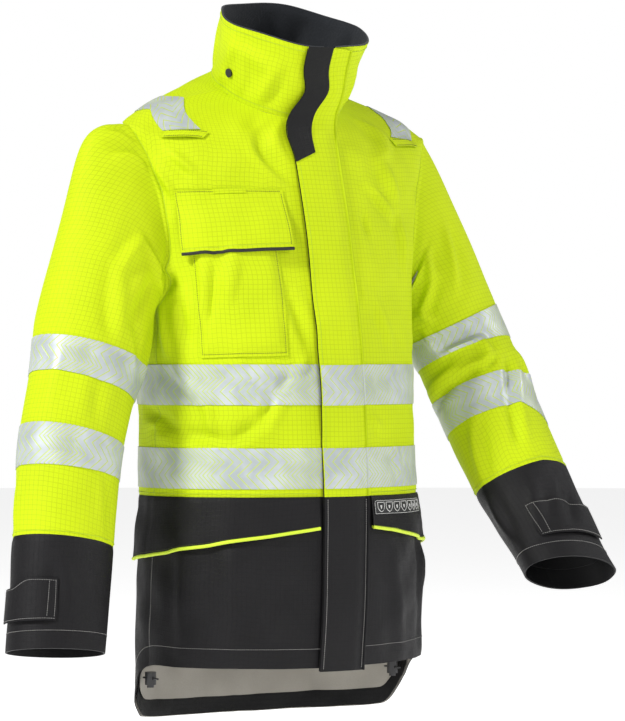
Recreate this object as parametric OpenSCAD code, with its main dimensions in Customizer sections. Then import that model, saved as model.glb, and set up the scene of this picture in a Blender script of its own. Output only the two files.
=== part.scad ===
// Long waterproof work coat: yellow and charcoal shell, lining, stand collar, storm flap,
// zip, flapped pockets, reflective tape, cuff tabs and hem cord. Millimetres, +Z up, the
// wearer faces -Y and the wearer's left is +X. The origin is the hanger loop at the neck.

/* [Body] */
// Half width of the coat at the chest
chest_half = 186; // [178:1:195]
// Height of the neck seam above the tail hem
neck_h = 796; // [790:1:805]
// Height of the front hem above the tail hem
drop_tail = 75; // [50:1:90]
// Height of the seam between yellow and charcoal cloth
waist_h = 287; // [280:1:292]
// Radius of the arc that the centre front follows from hem to neck
front_arc_r = 1672; // [1640:1:1720]

/* [Cloth] */
// Thickness of the outer cloth
cloth = 1.6; // [1.2:0.1:1.8]
// Depth from the outer face to the lining's face
lining_in = 6; // [5.5:0.1:8]
// Space left between layers sewn on each other
ply = 0.9; // [0.7:0.1:1]
// Width of the reflective tape
tape_w = 50; // [40:1:50]
// Height of the lower body tape's bottom edge
tape_low = 297; // [295:1:300]
// Height of the upper body tape's bottom edge
tape_high = 400; // [380:1:420]

/* [Sleeves] */
// Half height of the armhole
armhole_rz = 112; // [106:1:114]
// Half width of the cuff across the arm
cuff_rx = 64; // [58:1:68]
// Half depth of the cuff
cuff_ry = 50; // [44:1:54]

/* [Flaps] */
// Distance from the centre to the storm flap's free edge
flap_free = 34; // [30:1:36]
// Distance from the centre to the storm flap's seam
flap_seam = 33; // [30:1:36]
// Clearance between the shell and the storm flap
flap_gap = 4.6; // [4.4:0.1:5]
// Height of the chest pocket flap
chest_flap_h = 76; // [70:1:80]

/* [Hidden] */

// The origin sits at the middle of the hanger loop.
loop_y = 62;
loop_h = 838;
module place() translate([0, -loop_y, -loop_h]) children();

yellow = [0.82, 0.98, 0.08];
charcoal = [0.17, 0.17, 0.18];
silver = [0.75, 0.77, 0.78];
beige = [0.62, 0.6, 0.55];
black = [0.07, 0.07, 0.08];

function mix(a, b, w) = a + (b - a) * w;
function clamp01(w) = max(0, min(1, w));
function smooth(w) = let (c = clamp01(w)) c * c * (3 - 2 * c);
function powr(x, e) = sign(x) * pow(abs(x), e);

// Smooth curve through [place, value] rows, with slopes taken from each row's neighbours.
function slope(t, i) = let (n = len(t) - 1, a = max(i - 1, 0), b = min(i + 1, n))
    (t[b][1] - t[a][1]) / (t[b][0] - t[a][0]);
function span(t, v, i = 0) = i >= len(t) - 2 || v < t[i + 1][0] ? i : span(t, v, i + 1);
function curve(t, v) = let (
    i = span(t, v),
    w = t[i + 1][0] - t[i][0],
    s = clamp01((v - t[i][0]) / w),
    s2 = s * s,
    s3 = s2 * s
) (2 * s3 - 3 * s2 + 1) * t[i][1] + (s3 - 2 * s2 + s) * w * slope(t, i)
    + (3 * s2 - 2 * s3) * t[i + 1][1] + (s3 - s2) * w * slope(t, i + 1);

// Torso: half width and back depth against side height.
grow = chest_half - 186;
half_width = [[0, 199], [68, 198], [180, 193], [290, 188], [400, 185], [500, 187],
    [600, 195], [680, 209], [725, 221], [745, 226], [766, 190], [784, 137], [796, 85]];
round_width = [[600, 195], [680, 204], [725, 202], [745, 191], [766, 163], [784, 122], [796, 85]];
back_depth = [[0, 106], [68, 110], [180, 120], [290, 128], [400, 131], [500, 130],
    [600, 124], [680, 114], [745, 98], [796, 77]];
arc_z = 256;
arc_y = front_arc_r - 149.4;
function front_depth(z) = sqrt(pow(front_arc_r, 2) - pow(z - arc_z, 2)) - arc_y;
function side_width(h) = (h < 725 ? curve(half_width, h) : lookup(h, half_width))
    + grow * (1 - smooth((h - 600) / 120));
// The shoulder is crisp at the armhole and rounded towards the chest and back.
function width_at(h, t = 90) = h <= 600 ? side_width(h)
    : mix(curve(round_width, h), side_width(h), pow(abs(sin(t)), 8));
function tilt(h) = 40 * smooth((h - 600) / (neck_h - 600));

// Point on the torso at angle t (0 front, 90 wearer's left, 180 back) and side height h.
function torso0(t, h) = let (z = h - tilt(h) * cos(t)) [
    width_at(h, t) * powr(sin(t), 0.97),
    cos(t) > 0 ? -front_depth(z) * cos(t) : curve(back_depth, h) * powr(-cos(t), 0.85),
    z];
function unit(v) = v / norm(v);
function torso(t, h, off = 0) = let (
    e = 0.5,
    n = cross(torso0(t + e, h) - torso0(t - e, h),
        torso0(t, min(h + e, neck_h)) - torso0(t, min(h + e, neck_h) - 2 * e))
) torso0(t, h) + off * unit(n);
function angle_of(x, h) = asin(x / width_at(h));

// Collar: from the neck seam (w 0) to the rim (w 1).
rim_half = 100;
rim_depth = 78;
rim_y = -38;
rim_h = 878;
function collar0(t, w) = let (b = torso0(t, neck_h), bow = 4 * sin(180 * w)) mix(b,
    [rim_half * sin(t), rim_y - rim_depth * cos(t), rim_h - 34 * cos(t)], w)
    + [-bow * sin(t) * 0.3, bow * cos(t) * 0.3, 0];
function collar(t, w, off = 0) = let (
    e = 0.5,
    g = 0.02,
    n = cross(collar0(t + e, w) - collar0(t - e, w), collar0(t, w + g) - collar0(t, w - g))
) collar0(t, w) + off * unit(n);

// Centre front profile from hem to collar rim, and the storm flap's face over it.
function profile(z) = let (d = front_depth(z), c = 75 + 0.436 * (z - 750), e = 8)
    (d + c + sqrt(pow(d - c, 2) + e * e)) / 2;
function flap_at(x, z, off) = let (
    k = z > 756 ? 0.004 : 0.002,
    s = (profile(z + 1) - profile(z - 1)) / 2
) [x, -profile(z) + k * x * x, z] + off * unit([2 * k * x, -1, s]);

// Armhole: a closed curve on the torso's side, and how far it cuts into a panel.
armhole_h = 632;
front_cut = 17;
rear_cut = 35;
function armhole(f, side, off = 0) = let (
    cut = cos(f) > 0 ? -front_cut : rear_cut,
    h = armhole_h + armhole_rz * sin(f)
) torso(side * (90 + cut * abs(cos(f))), h, off);
function cut_at(h, amount) = abs(h - armhole_h) >= armhole_rz ? 0
    : amount * sqrt(1 - pow((h - armhole_h) / armhole_rz, 2));

// Sleeve paths: centres and section half sizes [x, y, z, across, deep].
right_path = [[-203, 15, 632, 112, 58], [-255, 8, 552, 85, 66], [-288, -5, 454, 72, 57],
    [-324, -25, 340, 67, 53], [-343, -42, 237, 65, 52], [-368, -65, 104, 64, 50]];
left_path = [[203, 15, 632, 112, 58], [243, 12, 566, 76, 64], [279, 0, 493, 70, 57],
    [301, -40, 401, 68, 54], [314, -95, 304, 66, 52], [343, -165, 182, 71, 50]];
path_s = [0, 0.16, 0.35, 0.57, 0.76, 1];
function axis_of(path, k, s) = curve([for (i = [0:5]) [path_s[i], path[i][k]]], s);
function centre(path, s) = [axis_of(path, 0, s), axis_of(path, 1, s), axis_of(path, 2, s)];
arm_gap = 2.2;
// Fullness of the sleeve head and slant of the cuff, for the right and the left arm.
head_full = [26, -6];
cuff_slant = [6, 26];
function sleeve0(path, side, f, s) = let (
    arm = side < 0 ? 0 : 1,
    full = head_full[arm] * exp(-pow((s - 0.09) / 0.075, 2)) * max(0, cos(f - 115)) * smooth(s / 0.04),
    drop = cuff_slant[arm] * sin(f) * smooth((s - 0.72) / 0.28),
    t = unit(centre(path, min(s + 0.02, 1)) - centre(path, max(s - 0.02, 0))),
    front = unit(cross(t, [side, 0, 0.35]) * side),
    out = unit(cross(front, t) * side),
    across = axis_of(path, 3, s) * (s > 0.9 ? cuff_rx / 64 : 1),
    deep = axis_of(path, 4, s) * (s > 0.9 ? cuff_ry / 50 : 1),
    ring = centre(path, s) + out * across * sin(f) + front * deep * cos(f),
    hole = armhole(f, side) + [side * (arm_gap + 90 * s), 0, 0]
) mix(hole, ring, smooth(s / 0.3)) + [side * full, 0, 0.3 * full - drop];
function sleeve(path, side, f, s, off = 0) = let (
    e = 2,
    g = 0.01,
    a = max(s - g, 0),
    n = cross(sleeve0(path, side, f + e, s) - sleeve0(path, side, f - e, s),
        sleeve0(path, side, f, a + 2 * g > 1 ? 1 : a + 2 * g)
        - sleeve0(path, side, f, a + 2 * g > 1 ? 1 - 2 * g : a))
) sleeve0(path, side, f, s) - side * off * unit(n);

// Closed sheet: p(u, v, o) gives points for u and v from 0 to 1 at the faces o = lo and hi.
module sheet(p, nu, nv, lo, hi, wrap = false) {
    w = nv + 1;
    cols = wrap ? nu : nu + 1;
    side = cols * w;
    pts = [for (o = [lo, hi], i = [0:cols - 1], j = [0:nv]) p(i / nu, j / nv, o)];
    function at(i, j, k) = k * side + (i % cols) * w + j;
    a = p(0.5, 0.5, lo);
    du = p(0.5 + 0.5 / nu, 0.5, lo) - a;
    dv = p(0.5, 0.5 + 0.5 / nv, lo) - a;
    turned = cross(du, dv) * (p(0.5, 0.5, hi) - a) > 0;
    quads = concat(
        [for (i = [0:nu - 1], j = [0:nv - 1])
            [at(i, j, 1), at(i, j + 1, 1), at(i + 1, j + 1, 1), at(i + 1, j, 1)]],
        [for (i = [0:nu - 1], j = [0:nv - 1])
            [at(i, j, 0), at(i + 1, j, 0), at(i + 1, j + 1, 0), at(i, j + 1, 0)]],
        [for (i = [0:nu - 1])
            [at(i, 0, 0), at(i, 0, 1), at(i + 1, 0, 1), at(i + 1, 0, 0)]],
        [for (i = [0:nu - 1])
            [at(i, nv, 0), at(i + 1, nv, 0), at(i + 1, nv, 1), at(i, nv, 1)]],
        wrap ? [] : [for (j = [0:nv - 1])
            [at(0, j, 0), at(0, j + 1, 0), at(0, j + 1, 1), at(0, j, 1)]],
        wrap ? [] : [for (j = [0:nv - 1])
            [at(nu, j, 0), at(nu, j, 1), at(nu, j + 1, 1), at(nu, j + 1, 0)]]
    );
    tris = [for (q = quads, k = [0, 1]) k == 0 ? [q[0], q[1], q[2]] : [q[0], q[2], q[3]]];
    polyhedron(pts, turned ? tris : [for (q = tris) [q[2], q[1], q[0]]]);
}

// Row heights that crowd towards the ends of the armhole, so its curve stays round.
rows = 18;
low_rows = 4;
arm_rows = 12;
function row_h(v, from, to) = let (
    i = v * rows,
    foot = armhole_h - armhole_rz,
    head = armhole_h + armhole_rz
) i <= low_rows ? mix(from, foot, i / low_rows)
    : i <= low_rows + arm_rows
        ? armhole_h - armhole_rz * cos(180 * (i - low_rows) / arm_rows)
    : mix(head, to, (i - low_rows - arm_rows) / (rows - low_rows - arm_rows));

front_edge = 6;
seam_gap = 0.35;
module front_part(side, from, lo, hi, edge) {
    sheet(function (u, v, o) let (h = row_h(v, from, neck_h - 0.4))
        torso(side * mix(angle_of(edge, h), 90 - seam_gap - cut_at(h, front_cut), u), h, o),
        8, rows, lo, hi);
}
module back_part(from, lo, hi, tail = 0) {
    sheet(function (u, v, o) let (
            h = row_h(v, from, neck_h - 0.4),
            edge = 90 + seam_gap + cut_at(h, rear_cut),
            t = mix(edge, 360 - edge, u)
        ) torso(t, h + tail * hem_h(t) * pow(1 - v, 3), o), 16, rows, lo, hi);
}
module right_front() place() color(yellow) front_part(-1, waist_h + 0.3, -cloth, 0, front_edge);
module left_front() place() color(yellow) front_part(1, waist_h + 0.3, -cloth, 0, front_edge);
module back_panel() place() color(yellow) back_part(waist_h + 0.3, -cloth, 0);

// Hem height round the body: level at the front, swept down to the tail behind the seams.
// The coat hangs a little turned, so the sweep starts earlier on the left.
hem_turn = 8.5;
hem_line = [[0, 1], [60, 1.03], [81, 1.02], [93, 0.79], [104, 0.35], [116, 0.09], [180, 0]];
function hem_h(t) = drop_tail * curve(hem_line, abs((t + hem_turn + 540) % 360 - 180));
module skirt(t0, t1, nu, top, lo, hi, rise = 0) {
    sheet(function (u, v, o) let (t = mix(t0, t1, u))
        torso(t, mix(hem_h(t) + rise, top, v), o), nu, 6, lo, hi);
}
skirt_edge = 1.8;
skirt_top = waist_h - 0.3;
module right_skirt() place() color(charcoal)
    skirt(-skirt_edge, -90 + seam_gap, 10, skirt_top, -cloth, 0);
module left_skirt() place() color(charcoal)
    skirt(skirt_edge, 90 - seam_gap, 10, skirt_top, -cloth, 0);
module back_skirt() place() color(charcoal)
    skirt(90 + seam_gap, 270 - seam_gap, 18, skirt_top, -cloth, 0);

// Sleeves, in yellow cloth to the cuff seam and charcoal below it.
cuff_s = 0.765;
module arm(path, side, s0, s1, nv, lo, hi, nu = 24) {
    sheet(function (u, v, o) sleeve(path, side, 360 * u, mix(s0, s1, v), o),
        nu, nv, lo, hi, true);
}
module right_sleeve() place() color(yellow)
    arm(right_path, -1, 0, cuff_s - 0.001, 14, -cloth, 0);
module left_sleeve() place() color(yellow)
    arm(left_path, 1, 0, cuff_s - 0.001, 14, -cloth, 0);
module right_cuff() place() color(charcoal) arm(right_path, -1, cuff_s, 1, 6, -cloth, 0);
module left_cuff() place() color(charcoal) arm(left_path, 1, cuff_s, 1, 6, -cloth, 0);
lining_end = 0.955;
module right_sleeve_lining() place() color(beige)
    arm(right_path, -1, 0.03, lining_end, 12, -lining_in, -lining_in + 1, 18);
module left_sleeve_lining() place() color(beige)
    arm(left_path, 1, 0.03, lining_end, 12, -lining_in, -lining_in + 1, 18);

// Collar, open at the centre front behind the storm flap.
collar_open = 5;
module collar_shell() place() color(yellow)
    sheet(function (u, v, o) collar(mix(collar_open, 360 - collar_open, u), v, o),
        36, 5, -cloth, 0);
module collar_lining() place() color(black)
    sheet(function (u, v, o) collar(mix(collar_open, 360 - collar_open, u), mix(0.03, 0.985, v), o),
        36, 5, -4.2, -3.2);

// Lining of the body: two fronts and a back, and a charcoal facing inside the tail hem.
lining_edge = 22;
lining_from = 84;
lining_tail = 22;
module body_lining() place() color(beige) {
    for (side = [-1, 1])
        front_part(side, lining_from + 14, -lining_in - 1, -lining_in, lining_edge);
    back_part(lining_tail, -lining_in - 1, -lining_in, 1);
}
module hem_facing() place() color(charcoal)
    sheet(function (u, v, o) let (t = mix(84, 276, u))
        torso(t, mix(hem_h(t) + 1, hem_h(t) + 25, v), o), 20, 2, -4, -3);

// Reflective tapes round the body, the sleeves and over the shoulders.
tape_t = 0.8;
module body_tape(h) {
    for (side = [-1, 1])
        sheet(function (u, v, o) torso(side * mix(11.5, 179.7, u), mix(h, h + tape_w, v), o),
            20, 2, ply, ply + tape_t);
}
module upper_body_tape() place() color(silver) body_tape(tape_high);
module lower_body_tape() place() color(silver) body_tape(tape_low);
module sleeve_tape(path, side, s, rise) {
    long = tape_w / 600;
    arm(path, side, s, s + long + rise, 2, ply, ply + tape_t);
}
module right_sleeve_tapes() place() color(silver) {
    sleeve_tape(right_path, -1, 0.33, 0.002);
    sleeve_tape(right_path, -1, 0.53, 0.002);
}
module left_sleeve_tapes() place() color(silver) {
    sleeve_tape(left_path, 1, 0.33, 0.012);
    sleeve_tape(left_path, 1, 0.53, 0.012);
}
// A shoulder tape lies across the top of the shoulder, its middle on the shoulder seam.
function shoulder_at(side, u, v, o) = let (d = 2 * v - 1, k = pow(abs(d), 1.3))
    torso(side * (90 + d * mix(20, 34, u)), mix(765, 782, u) - k * mix(13.5, 19.5, u), o);
module shoulder_tape(side) {
    sheet(function (u, v, o) shoulder_at(side, u, v, o), 3, 12, ply, ply + tape_t);
}
module shoulder_tapes() place() color(silver) for (side = [-1, 1]) shoulder_tape(side);

// Storm flap over the zip, with the dark facing that shows at its throat edge.
flap_top = 841;
flap_low = 70;
flap_cols = 4;
flap_rows = 36;
module flap_sheet(x0, x1, z0, z1, nx, nz, lo, hi) {
    sheet(function (u, v, o) flap_at(mix(x0, x1, u), mix(z0, z1, v), o), nx, nz, lo, hi);
}
module storm_flap() place() color(yellow)
    flap_sheet(-flap_free, flap_seam, flap_low, flap_top, flap_cols, flap_rows, flap_gap, flap_gap + cloth);
flap_face = flap_gap + cloth + 0.6;
facing_rows = 6;
facing_low = mix(flap_top, flap_low, facing_rows / flap_rows);
facing_edge = (flap_seam - flap_free) / 2;
module flap_facing() place() color(charcoal)
    flap_sheet(-flap_free, facing_edge, facing_low, flap_top, flap_cols / 2, facing_rows, flap_face, flap_face + 0.8);
module flap_tapes() place() color(silver) for (h = [tape_low, tape_high])
    flap_sheet(-flap_free + 1, flap_seam - 1, h, h + tape_w, flap_cols, 4, flap_face, flap_face + tape_t);

// Press studs: caps inside the flap, studs on the wearer's right front.
stud_x = -21;
stud_heights = [150, 250, 368, 480, 580, 660];
function lean(z) = atan((profile(z + 1) - profile(z - 1)) / 2);
module on_front(z, off) translate(flap_at(stud_x, z, off)) rotate([90 + lean(z), 0, 0]) children();
module flap_stud_caps() place() color(black) for (z = stud_heights) on_front(z, flap_gap - 1.95)
    cylinder(r = 6, h = 1, $fn = 32);
module front_studs() place() color(black) for (z = stud_heights) on_front(z, 0.7)
    union() {
        cylinder(r = 5.5, h = 0.8, $fn = 32);
        cylinder(r = 2.4, h = 1.5, $fn = 32);
    }

// Chest pocket: a raised bag open at the top under a flap piped in charcoal.
pocket_t0 = -22;
pocket_t1 = -60;
pocket_low = 458;
pocket_top = 610;
pocket_deep = 9;
pocket_wall_t = 1.2;
module pocket_wall(u0, u1, h0, h1, lo, hi, nu, nv) {
    sheet(function (u, v, o) torso(mix(u0, u1, u), mix(h0, h1, v), o), nu, nv, lo, hi);
}
module chest_pocket() place() color(yellow) {
    face = pocket_deep - pocket_wall_t;
    pocket_wall(pocket_t0, pocket_t1, pocket_low, pocket_top, face, pocket_deep, 6, 5);
    pocket_wall(pocket_t0, pocket_t0 - 0.6, pocket_low, pocket_top, ply, face - 0.1, 1, 5);
    pocket_wall(pocket_t1 + 0.5, pocket_t1, pocket_low, pocket_top, ply, face - 0.1, 1, 5);
    pocket_wall(pocket_t0 - 0.8, pocket_t1 + 0.7, pocket_low, pocket_low + 1.6, ply, face - 0.1, 6, 1);
}
flap_t0 = -16.2;
flap_t1 = -64.4;
flap_top_h = 681;
flap_drop = 11;
chest_flap_off = pocket_deep + 1.2;
function chest_flap_at(u, v, o) = let (top = flap_top_h - flap_drop * u)
    torso(mix(flap_t0, flap_t1, u), mix(top - chest_flap_h - mix(11, 6, u), top, v), o);
module chest_flap() place() color(yellow)
    sheet(function (u, v, o) chest_flap_at(u, v, o + mix(chest_flap_off, ply, smooth(1.4 * v - 0.4))),
        6, 6, 0, cloth);
module chest_flap_piping() place() color(charcoal)
    sheet(function (u, v, o) chest_flap_at(u, mix(-0.055, -0.006, v), o + chest_flap_off),
        6, 1, -0.4, 2.2);
module pen_loop() place() color(yellow)
    sheet(function (u, v, o) chest_flap_at(mix(0.31, 0.6, u), mix(0.93, 1.01, v), o), 2, 1, 4.4, 5.2);

// Hip pocket flaps: from near the zip round to behind the side seam, piped in yellow.
hip_t0 = 11.5;
hip_t1 = 104;
hip_low0 = 249;
hip_low1 = 208;
hip_off = 2.6;
function hip_at(side, u, v, o) = torso(side * mix(hip_t0, hip_t1, u),
    mix(mix(hip_low0, hip_low1, u), waist_h - 4, v), o + hip_off);
module hip_flap(side) {
    sheet(function (u, v, o) hip_at(side, u, v, o), 12, 2, 0, cloth);
}
module hip_piping(side) {
    sheet(function (u, v, o) let (d = 4.6 / mix(waist_h - 4 - hip_low0, waist_h - 4 - hip_low1, u))
        hip_at(side, u, mix(-d, -0.2 * d, v), o), 12, 1, -0.4, 2.4);
}
module right_hip_flap() place() color(charcoal) hip_flap(-1);
module left_hip_flap() place() color(charcoal) hip_flap(1);
module right_hip_piping() place() color(yellow) hip_piping(-1);
module left_hip_piping() place() color(yellow) hip_piping(1);
// Hip pocket bags hang between skirt and lining.
module hip_bag(side) {
    pocket_wall(side * 20, side * 70, 120, 262, -4.8, -4, 6, 4);
}
module right_hip_bag() place() color(black) hip_bag(-1);
module left_hip_bag() place() color(black) hip_bag(1);

// Small sewn parts.
loop_rise = 3;
module radio_loop(side) {
    sheet(function (u, v, o) torso(side * mix(51, 68, u),
        mix(mix(751, 742.5, u), mix(760.5, 751.5, u), v), o + loop_rise * sin(180 * u)), 6, 1, 2.2, 3.2);
}
module radio_loops() place() color(yellow) for (side = [-1, 1]) radio_loop(side);
strip_t0 = 13;
strip_t1 = 50;
strip_low = 263;
module care_strip() place() color(black)
    pocket_wall(strip_t0, strip_t1, strip_low, strip_low + 18, 5.1, 5.7, 4, 1);
marks = 6;
module care_marks() place() color("white") for (i = [0:marks - 1])
    let (t = mix(strip_t0 + 3, strip_t1 - 3, i / (marks - 1)), p = torso(t, strip_low + 9, 5.9))
        translate(p) rotate([90, 0, t]) cylinder(r = 4.5, h = 0.5, $fn = 24);
module hood_snaps() place() color(black) for (t = [-82, 82, 180])
    let (a = collar(t, 0.3, 0.3), b = collar(t, 0.3, 1.3), d = b - a)
        translate(a) rotate([0, 0, atan2(d[1], d[0])]) rotate([0, acos(d[2]), 0])
            cylinder(r = 5.5, h = 2, $fn = 32);

// Zip: tapes behind the front edges, two rows of teeth, and a slider on the front arc.
zip_low = 92;
zip_top = 752;
module zip_strip(side, x0, x1, lo, hi, n) {
    sheet(function (u, v, o) let (z = mix(zip_low, zip_top, v), p = front_depth(z + 1) - front_depth(z - 1))
        [side * mix(x0, x1, u), -front_depth(z), z] + o * unit([0, -1, p / 2]), 1, n, lo, hi);
}
module right_zip_tape() place() color(black) zip_strip(-1, 1.4, 18, -4.2, -3.4, 24);
module left_zip_tape() place() color(black) zip_strip(1, 1.4, 18, -4.2, -3.4, 24);
module right_zip_teeth() place() color(charcoal) zip_strip(-1, 1.2, 3.4, -3.1, -0.4, 24);
module left_zip_teeth() place() color(charcoal) zip_strip(1, 1.2, 3.4, -3.1, -0.4, 24);
slider_z = 735;
slider_lean = atan((front_depth(slider_z + 1) - front_depth(slider_z - 1)) / 2);
module on_slider() translate([0, -front_depth(slider_z), slider_z]) rotate([slider_lean, 0, 0]) children();
// In the slider's own axes -Y points out of the coat.
pin_r = 0.75;
pin_out = 2.95;
module zip_slider() place() color(silver) on_slider() {
    translate([-4.8, -1.6, -7]) cube([9.6, 1.5, 14]);
    translate([-0.45, -0.2, 2]) cube([0.9, 5.4, 4.5]);
    translate([-4.2, 4.9, -6]) cube([8.4, 0.9, 12]);
    translate([-1.9, -pin_out - 1.1, 1]) cube([0.8, pin_out - 0.4, 3.4]);
    translate([1.1, -pin_out - 1.1, 1]) cube([0.8, pin_out - 0.4, 3.4]);
    translate([-1.9, -pin_out, 2.7]) rotate([0, 90, 0]) cylinder(r = pin_r, h = 3.8, $fn = 24);
}
pull_len = 17;
module zip_puller() place() color(charcoal) on_slider()
    translate([0, -pin_out, 2.7]) difference() {
        union() {
            translate([-0.8, 0, 0]) rotate([0, 90, 0]) cylinder(r = 1.3, h = 1.6, $fn = 24);
            translate([-0.8, -0.3, -6]) cube([1.6, 1, 5.2]);
            translate([-2.6, -0.3, -pull_len]) cube([5.2, 1, pull_len - 6]);
        }
        translate([-2, 0, 0]) rotate([0, 90, 0]) cylinder(r = pin_r + 0.06, h = 4, $fn = 24);
    }

// Cuff tabs lie round the outer side of each cuff; a hook pad holds each one.
tab_s0 = 0.856;
tab_s1 = 0.943;
tab_off = 2.8;
tab_taper = 0.012;
right_tab = [30, 112];
left_tab = [-42, 48];
module cuff_tab(path, side, ends) {
    sheet(function (u, v, o) sleeve(path, side, mix(ends[0], ends[1], u),
        mix(tab_s0 + tab_taper * smooth(3 * u - 1.5), tab_s1, v), o + tab_off), 8, 2, 0, cloth);
}
module right_cuff_tab() place() color(charcoal) cuff_tab(right_path, -1, right_tab);
module left_cuff_tab() place() color(charcoal) cuff_tab(left_path, 1, left_tab);
module hook_pad(path, side, ends) {
    sheet(function (u, v, o) sleeve(path, side, mix(ends[0] + 45, ends[1] - 4, u),
        mix(tab_s0 + 0.018, tab_s1 - 0.008, v), o), 4, 1, ply, ply + 0.8);
}
module cuff_hook_pads() place() color(black) {
    hook_pad(right_path, -1, right_tab);
    hook_pad(left_path, 1, left_tab);
}

// Hanger loop inside the back of the neck: a flat cord loop on two sewn feet.
loop_w = 52;
module hanger_loop() place() color(black) translate([0, loop_y, loop_h]) {
    difference() {
        translate([-loop_w / 2, -1, -16]) cube([loop_w, 2, 18]);
        translate([-loop_w / 2 + 5, -3, -13]) cube([loop_w - 10, 6, 12]);
    }
}

// Hem cord: leaves the hem at each side through a spring cord lock.
cord_t = 98;
lock_h = 58;
lock_r = 7;
lock_in = -19;
cord_r = 1.3;
cord_len = 34;
press = 3;
module at_lock(side) 
    translate(torso(side * cord_t - hem_turn, lock_h, lock_in)) children();
module along(r, len, z = 0) translate([0, 0, z]) rotate([90, 0, 0])
    cylinder(r = r, h = len, center = true, $fn = 24);
module hem_cord() place() color(black) for (side = [-1, 1])
    at_lock(side) along(cord_r, cord_len);
module cord_lock(side) at_lock(side) difference() {
    cylinder(r = lock_r, h = 16, center = true, $fn = 36);
    translate([0, 0, -9]) cylinder(r = 4.6, h = 15.3, $fn = 36);
    along(1.9, 20);
}
module lock_button(side) at_lock(side) difference() {
    translate([0, 0, -11.5]) cylinder(r = 4.3, h = 14.5, $fn = 36);
    along(1.9, 20);
    along(1.9, 20, -press);
    translate([-1.9, -10, -press]) cube([3.8, 20, press]);
}
module right_cord_lock() place() color(black) cord_lock(-1);
module left_cord_lock() place() color(black) cord_lock(1);
module right_lock_button() place() color(charcoal) lock_button(-1);
module left_lock_button() place() color(charcoal) lock_button(1);

right_front();
left_front();
back_panel();
right_skirt();
left_skirt();
back_skirt();
right_sleeve();
left_sleeve();
right_cuff();
left_cuff();
collar_shell();
collar_lining();
body_lining();
right_sleeve_lining();
left_sleeve_lining();
hem_facing();
upper_body_tape();
lower_body_tape();
right_sleeve_tapes();
left_sleeve_tapes();
shoulder_tapes();
storm_flap();
flap_facing();
flap_tapes();
flap_stud_caps();
front_studs();
chest_pocket();
chest_flap();
chest_flap_piping();
pen_loop();
right_hip_flap();
right_hip_piping();
left_hip_flap();
left_hip_piping();
right_hip_bag();
left_hip_bag();
radio_loops();
care_strip();
care_marks();
hood_snaps();
right_zip_tape();
left_zip_tape();
right_zip_teeth();
left_zip_teeth();
zip_slider();
zip_puller();
right_cuff_tab();
left_cuff_tab();
cuff_hook_pads();
hanger_loop();
hem_cord();
right_cord_lock();
left_cord_lock();
right_lock_button();
left_lock_button();
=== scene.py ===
"""Looks of a long hi-vis work coat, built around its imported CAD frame. The geometry functions work
in millimetres from the tail hem; ORIGIN and MM turn them into the frame's metres."""
import math
import bpy
import numpy as np
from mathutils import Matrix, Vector


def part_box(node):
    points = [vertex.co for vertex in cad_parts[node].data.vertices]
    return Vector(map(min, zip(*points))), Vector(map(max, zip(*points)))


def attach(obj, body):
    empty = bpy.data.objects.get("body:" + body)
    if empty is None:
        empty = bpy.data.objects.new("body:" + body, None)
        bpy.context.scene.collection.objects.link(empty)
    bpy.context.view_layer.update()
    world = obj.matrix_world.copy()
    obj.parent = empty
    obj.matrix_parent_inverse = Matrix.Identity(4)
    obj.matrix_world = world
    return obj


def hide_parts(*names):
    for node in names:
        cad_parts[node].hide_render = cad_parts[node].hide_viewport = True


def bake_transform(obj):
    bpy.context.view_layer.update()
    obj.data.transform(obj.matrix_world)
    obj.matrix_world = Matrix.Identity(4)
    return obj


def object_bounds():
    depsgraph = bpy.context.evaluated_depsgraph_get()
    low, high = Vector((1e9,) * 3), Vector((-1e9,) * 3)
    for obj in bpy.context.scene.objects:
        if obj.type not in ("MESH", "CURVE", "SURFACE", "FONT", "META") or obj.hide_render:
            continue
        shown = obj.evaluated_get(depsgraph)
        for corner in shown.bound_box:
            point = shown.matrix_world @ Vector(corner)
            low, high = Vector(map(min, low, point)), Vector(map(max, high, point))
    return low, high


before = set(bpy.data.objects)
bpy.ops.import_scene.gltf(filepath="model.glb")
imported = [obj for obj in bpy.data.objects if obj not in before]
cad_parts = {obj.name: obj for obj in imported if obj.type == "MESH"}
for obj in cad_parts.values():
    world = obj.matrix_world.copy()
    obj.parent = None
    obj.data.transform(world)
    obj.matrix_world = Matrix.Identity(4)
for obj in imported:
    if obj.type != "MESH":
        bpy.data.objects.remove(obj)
cad_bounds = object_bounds()

MM = 0.001
ORIGIN = np.array([0.0, 62.0, 838.0])
CLOTH = 1.5
NECK_H, WAIST_H, HEM_FRONT = 796.0, 287.0, 75.0
TAPE_W, TAPE_LOW, TAPE_HIGH = 50.0, 297.0, 400.0
SIDES = ((-1, "right"), (1, "left"))


# --- geometry of the coat
def sind(a):
    return np.sin(np.radians(a))


def cosd(a):
    return np.cos(np.radians(a))


def half_turn(a):
    return (np.asarray(a, float) + 180) % 360 - 180


def mix(a, b, w):
    return a + (b - a) * w


def smooth(w):
    w = np.clip(w, 0, 1)
    return w * w * (3 - 2 * w)


def unit(v):
    return v / np.maximum(np.linalg.norm(v, axis=-1, keepdims=True), 1e-9)


def stack(x, y, z):
    return np.stack(np.broadcast_arrays(x, y, z), -1).astype(float)


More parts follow.
